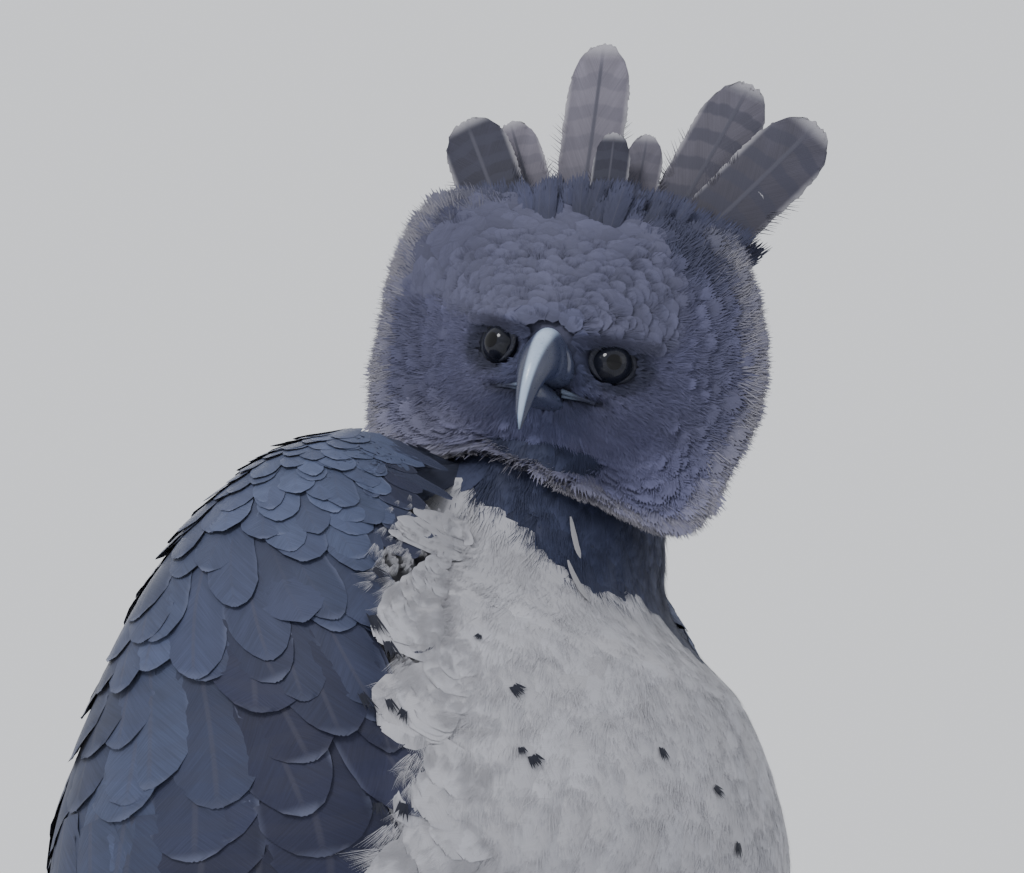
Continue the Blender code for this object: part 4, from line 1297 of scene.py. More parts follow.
@dataclass(frozen=True)
class Bark(Finish):
    """Rough bark: cracked plates with lighter crests and patches of lichen."""

    dark: Colour = (0.035, 0.028, 0.024)
    pale: Colour = (0.21, 0.175, 0.14)
    lichen: Colour = (0.34, 0.36, 0.3)

    def make(self) -> bpy.types.Material:
        """Cells stretched along the branch give plates, noise gives grain and lichen."""
        shader = Shader(self.name, 0.9, {"Specular IOR Level": 0.2})
        place = shader.place()
        warp = shader.noise(place, 18.0, 4.0)
        plates = shader.cells(shader.stretched(place, (0.35, 1.0, 1.0)), 62.0).ease(0.0, 0.22)
        grain = shader.noise(shader.stretched(place, (0.25, 1.0, 1.0)), 210.0, 4.0)
        colour = shader.mix(plates * (grain * 0.8 + 0.2), self.dark, self.pale)
        patch = shader.noise(place, 26.0, 5.0).ease(0.6, 0.7) * plates
        shader.colour(shader.mix(patch * 0.55, colour, self.lichen))
        shader.bump(plates + grain * 0.7 + warp, 0.8, 0.003)
        return shader.made


@dataclass(frozen=True)
class SawnWood(Finish):
    """The branch's sawn ends: rings round the pith and fine saw marks."""

    light: Colour = (0.4, 0.29, 0.18)
    dark: Colour = (0.19, 0.12, 0.07)

    def make(self) -> bpy.types.Material:
        """Rings by the stored distance from the pith, warped by noise."""
        shader = Shader(self.name, 0.75)
        radius, _, _ = shader.parts(shader.attribute("Gaze", "Vector"))
        warp = shader.noise(shader.place(), 40.0, 3.0)
        ring = (radius * 95.0 + warp * 9.0).sine().ease(-0.4, 0.9)
        grain = shader.noise(shader.place(), 420.0, 2.0)
        shader.colour(shader.mix(ring * 0.6 + grain * 0.3, self.light, self.dark))
        shader.bump(grain, 0.3, 0.0006)
        return shader.made


@dataclass(frozen=True)
class StainedWood(Finish):
    """The base: dark stained wood with straight grain under satin varnish."""

    dark: Colour = (0.035, 0.018, 0.01)
    light: Colour = (0.12, 0.062, 0.032)

    def make(self) -> bpy.types.Material:
        """Noise stretched along the base gives the grain."""
        shader = Shader(self.name, 0.38, {"Coat Weight": 0.35, "Coat Roughness": 0.22})
        place = shader.place()
        long = shader.noise(shader.stretched(place, (0.06, 1.0, 1.0)), 150.0, 6.0)
        pores = shader.noise(shader.stretched(place, (0.04, 1.0, 1.0)), 900.0, 2.0)
        share = (long - 0.5) * 2.2 + pores * 0.5 + 0.25
        shader.colour(shader.mix(share.ease(0.0, 1.0), self.dark, self.light))
        shader.rough(pores * 0.25 + 0.27)
        shader.bump(long + pores * 0.5, 0.12, 0.0006)
        return shader.made


@dataclass(frozen=True)
class PaintedSteel(Finish):
    """The rods: black paint on turned steel."""

    colour_value: Colour = (0.022, 0.022, 0.024)

    def make(self) -> bpy.types.Material:
        """Fine round marks in the paint."""
        shader = Shader(self.name, 0.36, {"Metallic": 0.4})
        marks = shader.noise(shader.stretched(shader.place(), (1.0, 1.0, 14.0)), 160.0, 2.0)
        plain = shader.mix(0.0, self.colour_value, self.colour_value)
        shader.colour(shader.scaled(plain, marks * 0.5 + 0.75))
        shader.rough(marks * 0.2 + 0.26)
        shader.bump(marks, 0.08, 0.0004)
        return shader.made


@dataclass(frozen=True)
class PaleFloor(Finish):
    """The studio's floor."""

    def make(self) -> bpy.types.Material:
        """A matt pale sheet with hardly any grain."""
        shader = Shader(self.name, 0.9)
        grain = shader.noise(shader.place(), 3.0, 2.0)
        shader.colour(shader.mix(grain, (0.76, 0.77, 0.79), (0.8, 0.8, 0.81)))
        return shader.made


# Tones of the coat, as linear colours
WHITE = np.array([0.326, 0.327, 0.358])
CREAM = np.array([0.315, 0.312, 0.335])
SLATE = np.array([0.02, 0.025, 0.055])
MANTLE = np.array([0.024, 0.029, 0.056])
WING_BLUE = np.array([0.05, 0.064, 0.118])
WING_DARK = np.array([0.013, 0.015, 0.036])
FACE_GREY = np.array([0.064, 0.066, 0.122])
FACE_DARK = np.array([0.045, 0.052, 0.108])
FOREHEAD = np.array([0.056, 0.058, 0.098])
BAND_GREY = np.array([0.058, 0.06, 0.108])
COLLAR = np.array([0.03, 0.033, 0.064])
# Pale ruff rim: the fringe's own paleness, brightened as painted backlight; the second also paints the
# highlight on one cheek
RUFF_PALE_AND_BACKLIT = np.array([0.15, 0.142, 0.178])
RIM_PALE_AND_PAINTED_LIGHT = np.array([0.25, 0.242, 0.27])
CREST_PALE = np.array([0.128, 0.119, 0.148])
CREST_DARK = np.array([0.009, 0.01, 0.022])
TAIL_DARK = np.array([0.06, 0.062, 0.08])

FEATHERS = Plumage("feathers", streak=0.3, patch=0.24, fringe_colour=(0.17, 0.19, 0.28))
SOFT = Plumage("soft_feathers", streak=0.1, patch=0.08, fringe_colour=(0.62, 0.62, 0.66))
FACE = Plumage("face_feathers", streak=0.22, patch=0.2, fringe_colour=(0.2, 0.19, 0.24))
BARRED = Plumage(
    "barred_feathers", bar_count=2.6, bar_colour=(0.06, 0.06, 0.075), fringe_colour=(0.5, 0.5, 0.53)
)
TAIL_FEATHERS = Plumage(
    "tail_feathers", streak=0.18, bar_count=4.5, bar_colour=(0.27, 0.26, 0.27), barb_count=150.0
)
CREST_FEATHERS = Plumage(
    "crest_feathers", streak=0.26, patch=0.34, bar_count=7.0, bar_colour=(0.03, 0.031, 0.05),
    barb_count=150.0, fringe_colour=(0.42, 0.41, 0.44)
)
FLIGHT = Plumage(
    "flight_feathers", streak=0.24, bar_count=6.0, barb_count=150.0, fringe_colour=(0.2, 0.21, 0.27)
)


@dataclass
class Torso:
    """Breast, belly, back and chest band: rows of soft feathers over the trunk."""

    surface: Trunk = field(default_factory=Trunk)
    lowest: float = -0.312
    highest: float = 0.105
    # The band's lower edge: degrees from the back line, metres above the torso's top ring
    band: Table = Table((
        (-180, 0.022),
        (-163, 0.02),
        (-149, 0.021),
        (-135, 0.03),
        (-116, 0.04),
        (-96, 0.045),
        (-80, 0.047),
        (-70, 0.02),
        (-62, -0.2),
        (-40, -0.33),
        (0, -0.34),
        (40, -0.33),
        (70, -0.06),
        (95, -0.004),
        (130, 0.004),
        (159, 0.012),
        (166, 0.021),
        (180, 0.022),
    ))
    # Marks: metres above the torso's top ring, degrees from the back line, length, half width, pale
    spots: tuple = (
        (-0.042, -141, 0.007, 0.0034, 0),
        (-0.069, -147, 0.0065, 0.0034, 0),
        (-0.066, -145, 0.004, 0.002, 0),
        (-0.044, -171, 0.0075, 0.0023, 0),
        (-0.01, -116, 0.005, 0.0036, 0),
        (-0.023, -132, 0.004, 0.0016, 0),
        (-0.066, -131, 0.012, 0.0022, 0),
        (-0.061, -128, 0.011, 0.0018, 0),
        (0.036, -147, 0.021, 0.0014, 1),
        (0.016, -150, 0.022, 0.0016, 1),
        (-0.052, 176, 0.0075, 0.0024, 0),
        (-0.073, 170, 0.0085, 0.0026, 0),
        (-0.09, 160, 0.008, 0.003, 0)
    )
    # Lobes over the right wing's front edge: root along and across it, length, turn, spread
    lobes: tuple = (
        (0.15, 1.28, 0.015, -0.5, 0.3),
        (0.134, 1.22, 0.022, -0.45, 0.3),
        (0.122, 1.18, 0.028, -0.5, 0.3),
        (0.108, 1.16, 0.034, -0.66, 0.3),
        (0.09, 1.25, 0.03, -0.42, 0.28),
        (0.073, 1.18, 0.037, -0.74, 0.3),
        (0.045, 1.2, 0.035, -0.52, 0.28),
        (0.026, 1.2, 0.036, -0.42, 0.28),
        (0.004, 1.18, 0.044, -0.62, 0.26),
        (-0.03, 1.16, 0.05, -0.62, 0.26),
        (-0.07, 1.14, 0.05, -0.5, 0.25)
    )
    # Their marks: root along and across the wing, length, half width, turn
    flank_marks: tuple = (
        (0.097, 1.0, 0.01, 0.0034, 0.5),
        (0.088, 1.05, 0.009, 0.0036, 0.4),
        (0.061, 0.95, 0.009, 0.003, 0.7),
        (0.063, 1.03, 0.007, 0.0028, 0.5),
        (0.061, 1.08, 0.007, 0.0022, -0.3),
        (0.017, 1.0, 0.006, 0.003, 0.4),
        (0.021, 1.07, 0.008, 0.003, 0.0),
        (0.118, 1.02, 0.007, 0.0026, 1.2)
    )
    unwrap: tuple = (-0.33, -0.5 * math.pi, 0.13, 1.5 * math.pi)

    def dark(self, u: Array, v: Array) -> Array:
        """1 in the chest band and on the back, 0 on the breast."""
        degrees = signed_degrees(v)
        edge = self.band(degrees)[..., 0]
        return ease(u - edge, -0.003, 0.004)

    def batch(self, u: Array, v: Array, size: tuple, chance: Chance, lift: float) -> Batch:
        """Feathers at these roots, in the trunk's tones.

        Args:
            u: Roots' metres up from the torso's top ring.
            v: Their angles.
            size: Length of a white feather and of a dark one.
            chance: Source of the small differences.
            lift: How far the tips stand off.

        Returns:
            The feathers; those at the sides of the neck's foot are longer and looser.
        """
        count = len(u)
        dark = self.dark(u, v) > 0.15 + 0.7 * chance.random(count)
        slate = blend(SLATE, MANTLE, ease(np.cos(v), 0.1, 0.5)) * (0.88 + 0.24 * chance.random((count, 1)))
        white = blend(WHITE, CREAM, 0.8 * chance.random(count)) * (0.95 + 0.07 * chance.random((count, 1)))
        tone = np.where(dark[:, None], slate, white)
        fill = bell((np.abs(signed_degrees(v)) - 75) / 34, (u - 0.036) / 0.034)
        length = np.where(dark, size[1], size[0]) * (0.8 + 0.4 * chance.random(count)) * (1 + 0.35 * fill)
        return Batch(
            u=u, v=v, length=length, half=length * np.where(dark, 0.3, 0.37),
            tone=tone * np.where(dark, 0.8, 0.93)[:, None], tip=tone * np.where(dark, 1.2, 1.03)[:, None],
            heading=0.8 * (chance.random(count) - 0.5), root_lift=-0.0015 + 0.002 * fill,
            tip_lift=lift * (0.5 + 1.0 * chance.random(count)) + 0.003 * fill, cup=0.2, dip=0.92,
            fringe=np.where(dark, 0.0, 0.15)
        )

    def seen(self, u: Array, v: Array) -> Array:
        """Leaves out what the folded wings cover."""
        degrees = np.abs(signed_degrees(v))
        return ~((NECK_FOOT + u < 0.115) & (degrees > 50) & (degrees < 98))

    def build(self) -> list[Coat]:
        """Breast and back as coats of broad soft feathers under fine loose ones.

        Returns:
            Two coats for the breast, one for the back and one for the lobes at the wing.
        """
        chance = np.random.default_rng(11)
        coats = []
        vanes = [blade(Outline.BROAD, 8, 7, k, 0.1) for k in range(4)]
        wisps = [tuft(10, 0.9, 140 + k, 0.06) for k in range(3)]
        # Gap between roots, lengths of white and dark feathers, how far they stand off
        front = ((0.0094, (0.036, 0.026), 0.0003), (0.0045, (0.018, 0.016), 0.0024))
        rear = ((0.0104, (0.036, 0.036), 0.0018), (0.009, (0.018, 0.016), 0.0024))
        for name, low, high, layers in (
            ("breast_right", 90, 180, front), ("breast_left", 180, 270, front), ("back", -90, 90, rear)
        ):
            slot = "slate_band" if name == "back" else "breast_white"
            coat = Coat(f"coat_{name}", SOFT, slot, ("torso", "neck"), seed=3)
            for (gap, size, lift), kinds in zip(layers, (vanes, wisps)):
                def pace(share: float) -> float:
                    """Metres between roots, wider towards the belly."""
                    return gap * (1 + 0.55 * float(ease(share, 0.55, 0.4)))

                span = (math.radians(low), math.radians(high))
                u, v, _ = scatter(self.surface, (self.lowest, self.highest), span, pace, pace, chance, 1.0)
                batch = self.batch(u, v, size, chance, lift).kept(self.seen(u, v))
                coat.mix(self.surface, kinds, batch, chance, -1.0, self.unwrap)
            coats.append(coat)
        for coat in coats[:2]:
            self.marks(coat, tuft(9, 0.9, 150, 0.36))
        return [*coats, self.flank(chance)]

    def marks(self, coat: Coat, vane: Vane) -> None:
        """The few dark marks among the white feathers, and the pale streak on the band.

        Args:
            coat: The breast coat of one side.
            vane: The template of a dark mark.
        """
        half = 1 if coat.name.endswith("left") else -1
        u, degrees, length, wide, pale = np.array([row for row in self.spots if row[1] * half > 0]).T
        pale = pale > 0
        tone = np.where(pale[:, None], 0.7 * CREAM, SLATE * 0.3)
        heading = np.where(pale, -0.4, np.linspace(-1.1, 1.1, len(u)))
        batch = Batch(
            u=u + 0.5 * length, v=np.radians(degrees) % (2 * math.pi), length=length, half=wide, tone=tone,
            tip=tone, heading=heading, root_lift=0.0026, tip_lift=0.0038
        )
        coat.lay(self.surface, vane, batch.kept(~pale), -1.0, self.unwrap)
        coat.lay(self.surface, blade(Outline.LONG, 9, 5, 152), batch.kept(pale), -1.0, self.unwrap)

    def flank(self, chance: Chance) -> Coat:
        """White lobes of soft feathers over the right wing's front edge, with a few black marks.

        Args:
            chance: Source of the small differences.

        Returns:
            The lobes' coat.
        """
        coat = Coat("coat_flank", SOFT, "breast_white", ("torso",), seed=15)
        surface = Wing(Side.RIGHT)
        unwrap = (-0.1, 0.8, 0.2, 1.4)
        # Template, count, share of the lobe's length, half width, lift, cup, and 1 for the loose ones
        kinds = (
            (blade(Outline.ROUNDED, 9, 7, 16, 0.16), 13, 1.0, 0.4, 0.005, 0.16, 0),
            (tuft(12, 0.9, 17, 0.05), 70, 0.4, 0.22, 0.0066, 0.0, 1)
        )
        for along, across, long, turn, spread in self.lobes:
            for vane, count, share, wide, high, cup, loose in kinds:
                fan = 2 * chance.random(count) - 1
                length = long * share * (0.66 + 0.4 * chance.random(count))
                tone = blend(WHITE, CREAM, chance.random(count))
                batch = Batch(
                    u=along + 0.01 * fan,
                    v=across + 0.08 * chance.random(count) + (0.34 * chance.random(count) - 0.17) * loose,
                    length=length, half=wide * length, tone=tone * 0.93, tip=tone * 1.03,
                    heading=turn + spread * fan + 0.3 * (chance.random(count) - 0.5),
                    root_lift=0.0016 + 0.0034 * loose, tip_lift=high * (0.8 + 0.4 * chance.random(count)),
                    cup=cup, dip=0.85
                )
                coat.lay(surface, vane, batch, -1.0, unwrap)
        along, across, long, wide, turn = np.array(self.flank_marks).T
        black = np.tile(SLATE * 0.3, (len(along), 1))
        batch = Batch(wide, black, black, along, across, long, turn, 0.0072, 0.0086)
        coat.lay(surface, tuft(9, 0.9, 151, 0.36), batch, -1.0, unwrap)
        return coat


@dataclass
class Row:
    """How one set of the face's feathers is laid."""

    shares: tuple
    step: float
    gap: float
    vanes: list
    width: float
    lift: float
    jitter: float = 0.4
    turn: float = 0.4
    # root and tip scale the tone at a feather's two ends; the darker root is painted shade under the feathers
    # that overlap it
    root: float = 0.8
    tip: float = 1.08
    # pale: how far tips at the rim fade to pale, partly painted backlight
    pale: float = 0.0


@dataclass
class HeadCoat:
    """Face, forehead, ruff and nape: rows of small feathers that lie away from the bill."""

    plate: FacePlate = field(default_factory=FacePlate)
    back: RuffBack = field(default_factory=RuffBack)
    skull: Skull = field(default_factory=Skull)
    # Ovals on the face, as middle to the left and up, half width and half height
    eye_opening: tuple = (0.028, -0.0008, 0.0118, 0.0098)
    bill_root: tuple = (0.0005, -0.012, 0.0125, 0.0175)
    forehead: tuple = (-0.016, 0.018, 0.067, 0.056)
    # Feathers in one brow
    brow_count: int = 150

    @staticmethod
    def away(left: Array, up: Array, oval: tuple) -> Array:
        """Distance from an oval's middle, 1 on its edge."""
        x, y, wide, tall = oval
        return np.hypot((left - x) / wide, (up - y) / tall)

    def crown(self, left: Array, up: Array) -> Array:
        """1 on the scaled forehead, 0 elsewhere."""
        inside = ease(self.away(left, up, self.forehead), 1.04, 0.96)
        return inside * ease(up - 0.18 * np.abs(left), 0.002, 0.0036)

    def shortened(self, left: Array, up: Array, v: Array, length: Array) -> Array:
        """Lengths cut short where a feather would lie over an eye.

        Args:
            left: Each root's distance to the left.
            up: Its height.
            v: The angle of its lie.
            length: Its length.

        Returns:
            The distance to the opening's oval where that is less than the length.
        """
        x, y, wide, tall = self.eye_opening
        for side in Side:
            px, py = (left - side.value * x) / wide, (up - y) / tall
            dx, dy = np.sin(v) / wide, np.cos(v) / tall
            a, b, c = dx**2 + dy**2, px * dx + py * dy, px**2 + py**2 - 1
            near = (-b - np.sqrt(np.clip(b**2 - a * c, 0, None))) / a
            hits = (b**2 > a * c) & (near > 0) & (near < length * 1.05)
            length = np.where(hits, near * 0.92, length)
        return length

    def tone(self, left: Array, up: Array, share: Array, chance: Chance) -> Array:
        """The face's greys: brown-grey forehead, dark collar and eye rims, a pale cheek on one side as
        painted highlight, a pale rim brightened as painted backlight, and painted shade along the mouth's
        fold.

        Args:
            left: Each root's distance to the left.
            up: Its height.
            share: Its share of the way to the rim.
            chance: Source of the small differences.

        Returns:
            A colour for each root.
        """
        crown = self.crown(left, up)
        outside = ease(self.away(left, up, self.forehead), 0.97, 1.06)
        tone = blend(FACE_GREY, BAND_GREY, ease(share, 0.52, 0.74))
        tone = blend(tone, FOREHEAD, crown)
        middle = 1 - 0.5 * ease(np.abs(left), 0.05, 0.09)
        tone = blend(tone, COLLAR, outside * ease(up, 0.03, 0.056) * middle)
        # Pale ruff rim: partly the fringe's own colour, partly painted backlight
        tone = blend(tone, RUFF_PALE_AND_BACKLIT, 0.85 * ease(share, 0.9, 0.98) * ease(up, 0.078, 0.058))
        eye = np.hypot((np.abs(left) - 0.029) / 0.017, (up + 0.001) / 0.0128)
        under = ease(up - 0.18 * np.abs(left), 0.004, 0.0026)
        tone = blend(tone, FACE_DARK * 0.36, 0.9 * ease(eye, 1.25, 0.85) * under)
        lore = np.hypot(left / 0.022, (up + 0.014) / 0.024)
        tone = blend(tone, FACE_DARK, 0.65 * ease(lore, 1.4, 0.7))
        chin = ease(-up, 0.022, 0.046) * ease(share, 0.98, 0.86)
        tone = tone * (1 + 0.5 * chin)[:, None]
        # Painted highlight: a pale patch on the bird's right cheek only
        cheek = bell((left + 0.058) / 0.022, (up + 0.044) / 0.014)
        tone = blend(tone, RIM_PALE_AND_PAINTED_LIGHT, 0.24 * cheek)
        # Painted shade along the fold behind the mouth
        fold = bell((up + 0.0205) / 0.0018) * ease(np.abs(left), 0.034, 0.026)
        tone = blend(tone, FACE_DARK * 0.25, 0.85 * fold)
        mottle = 1 + 0.1 * np.sin(left * 260 + 3 * np.sin(up * 190)) * np.sin(up * 230 + 2.0)
        return tone * (mottle * (0.92 + 0.16 * chance.random(len(left))))[:, None]

    def length(self, left: Array, up: Array, share: Array) -> Array:
        """Feathers' lengths: shortest by the bill and eyes, longest in the ruff."""
        eye = np.hypot((np.abs(left) - 0.0275) / 0.022, up / 0.019)
        near = 0.0046 + 0.005 * ease(share, 0.15, 0.5) * ease(eye, 0.8, 1.7)
        near = near + (0.01 - near) * self.crown(left, up)
        return near + 0.0085 * ease(share, 0.48, 0.78)

    def lay(self, coat: Coat, row: Row, wanted: Callable) -> None:
        """Lays rows of feathers on the face plate, cut to end at the ruff's rim.

        Args:
            coat: The coat they go into.
            row: How they are laid.
            wanted: The chance that a feather is kept, by its place to the left, up and share.
        """
        chance = np.random.default_rng(int(1000 * row.shares[0] + 9e5 * row.gap))
        whole = (-math.pi, math.pi)
        u, v, _ = scatter(self.plate, row.shares, whole, row.step, row.gap, chance, row.jitter)
        rim = RUFF(np.degrees(v))[..., 0]
        left, up = rim * u * np.sin(v), rim * u * np.cos(v)
        keep = self.away(left, up, self.bill_root) > 1
        keep &= self.away(np.abs(left), up, self.eye_opening) > 1.02
        keep &= chance.random(len(u)) < wanted(left, up, u)
        u, v, rim, left, up = (a[keep] for a in (u, v, rim, left, up))
        size = self.length(left, up, u) * (0.8 + 0.4 * chance.random(len(u)))
        end = 1.015 - 0.115 * ease(np.cos(v), 0.7, 0.9) - 0.02 * ease(-np.cos(v), 0.6, 0.9)
        room = (end - u) * rim * (0.86 + 0.28 * chance.random(len(u)))
        short = np.minimum(self.shortened(left, up, v, size), room)
        tone = self.tone(left, up, u, chance)
        # Tips at the rim fade to pale: partly the fringe's own colour, partly painted backlight
        pale_and_backlit_rim = row.pale * ease(u + short / rim, 0.92, 1.0)[:, None] * ease(up, 0.075, 0.055)[:, None]
        batch = Batch(
            u=u, v=v, length=short, half=size * row.width, tone=tone * row.root,
            tip=blend(tone * row.tip, RIM_PALE_AND_PAINTED_LIGHT, pale_and_backlit_rim[:, 0]), heading=row.turn * (chance.random(len(u)) - 0.5),
            root_lift=-0.0008,
            tip_lift=row.lift * (0.6 + 0.8 * chance.random(len(u))) * np.clip(short / size, 0.3, 1), cup=0.12
        ).kept(short > 0.0022)
        coat.mix(self.plate, row.vanes, batch, chance, 1.0, (0.0, -math.pi, 1.1, math.pi))

    def build(self) -> list[Coat]:
        """Face, its fine hair, the ruff, and the ruff's back with the nape, as four coats."""
        face = Coat("coat_face", FACE, "head_grey", ("head",), seed=5)
        hair = Coat("coat_face_fine", FACE, "head_grey", ("head",), seed=4)
        ruff = Coat("coat_ruff", FACE, "head_grey", ("head",), seed=6)
        rear = Coat("coat_nape", FACE, "head_grey", ("head",), seed=7)
        scales = [tuft(8, 0.9, k, 0.3) for k in range(4)]
        tiles = [blade(Outline.ROUNDED, 7, 7, 10 + k, 0.14) for k in range(3)]
        soft = [frayed(Outline.ROUNDED, 5, 4, 7, 30 + k) for k in range(4)]
        fine = [tuft(8, 0.9, 20 + k) for k in range(4)]

        def plain(left: Array, up: Array, share: Array) -> Array:
            """All but the forehead."""
            return 1 - self.crown(left, up)

        def tiled(left: Array, up: Array, share: Array) -> Array:
            """The forehead alone."""
            return self.crown(left, up)

        def all_over(left: Array, up: Array, share: Array) -> Array:
            """Everywhere, thinner on the forehead."""
            return 1 - 0.72 * self.crown(left, up)

        self.lay(face, Row((0.13, 0.8), 0.0034, 0.0036, scales, 0.4, 0.0012, 0.8, 0.6, 0.9, 1.05), plain)
        self.lay(face, Row((0.14, 0.86), 0.0047, 0.0056, tiles, 0.52, 0.0011, 0.8, 0.6, 0.8, 1.12), tiled)
        self.lay(hair, Row((0.13, 0.62), 0.0023, 0.0024, fine, 0.26, 0.0022, 0.9, 0.8), all_over)
        self.lay(ruff, Row((0.58, 0.9), 0.0062, 0.0062, soft, 0.26, 0.003, 0.6, 0.5, 0.85, 1.03, 0.3), plain)
        self.lay(ruff, Row((0.56, 0.9), 0.0034, 0.0034, fine, 0.24, 0.0036, 0.9, 0.8, 0.9, 1.08, 0.8), plain)
        self.lay(ruff, Row((0.84, 0.96), 0.0018, 0.0021, fine, 0.17, 0.0034, 1.0, 0.8, 1.0, 1.1, 1.0), plain)
        self.brows(hair, fine)
        self.nape(rear, soft)
        return [face, hair, ruff, rear]

    def brows(self, coat: Coat, vanes: list) -> None:
        """Stiff small feathers that stand over each eye from the bill outwards."""
        chance = np.random.default_rng(12)
        count = self.brow_count
        along = np.tile(np.linspace(0.01, 0.045, count), 2) + 0.001 * chance.random(2 * count)
        side = np.repeat([1.0, -1.0], count)
        row = np.tile(np.arange(count) % 3, 2)
        left = side * along
        up = 0.008 + 0.18 * (along - 0.0255) + 0.0009 * row
        v = np.arctan2(left, up)
        rim = RUFF(np.degrees(v))[..., 0]
        tone = self.tone(left, up, np.hypot(left, up) / rim, chance)
        away, down = side * 0.96, -0.34 + 0.12 * row
        ahead = away * np.sin(v) + down * np.cos(v)
        aside = away * np.cos(v) - down * np.sin(v)
        size = 0.0066 * (0.8 + 0.4 * chance.random(2 * count))
        batch = Batch(
            u=np.hypot(left, up) / rim, v=v, length=size, half=size * 0.24, tone=tone * 0.85, tip=tone * 1.05,
            heading=np.arctan2(aside, ahead) + 0.3 * (chance.random(2 * count) - 0.5),
            root_lift=0.0002, tip_lift=0.0026 + 0.001 * chance.random(2 * count), cup=0.2
        )
        coat.lay(self.plate, vanes[0], batch, 1.0, (0.0, -math.pi, 1.1, math.pi))

    def nape(self, coat: Coat, vanes: list) -> None:
        """The ruff's back and the back of the skull, whose feathers lie outwards and backwards."""
        chance = np.random.default_rng(8)
        plans = (
            (self.back, (0.58, 0.88), 1.0, 0.006, 0.018, (0.5, -math.pi, 1.1, math.pi), BAND_GREY),
            (self.skull, (-0.03, -0.096), -1.0, 0.007, 0.022, (-0.1, -math.pi, -0.02, math.pi), COLLAR)
        )
        for surface, span, ahead, gap, size, unwrap, colour in plans:
            u, v, _ = scatter(surface, span, (-math.pi, math.pi), gap, gap, chance, 0.5)
            count = len(u)
            tone = np.tile(colour, (count, 1)) * (0.8 + 0.4 * chance.random((count, 1)))
            length = size * (0.8 + 0.4 * chance.random(count))
            if ahead > 0:
                rim = RUFF(np.degrees(v))[..., 0]
                end = 1.0 - 0.1 * ease(np.cos(v), 0.7, 0.9)
                length = np.minimum(length, (end - u) * rim)
            batch = Batch(
                u=u, v=v, length=length, half=size * 0.28 * (0.8 + 0.4 * chance.random(count)),
                tone=tone * 0.75, tip=tone * 1.1, heading=0.4 * (chance.random(count) - 0.5),
                root_lift=-0.001, tip_lift=0.002 + 0.003 * chance.random(count)
            ).kept(length > 0.005)
            coat.mix(surface, vanes, batch, chance, ahead, unwrap)


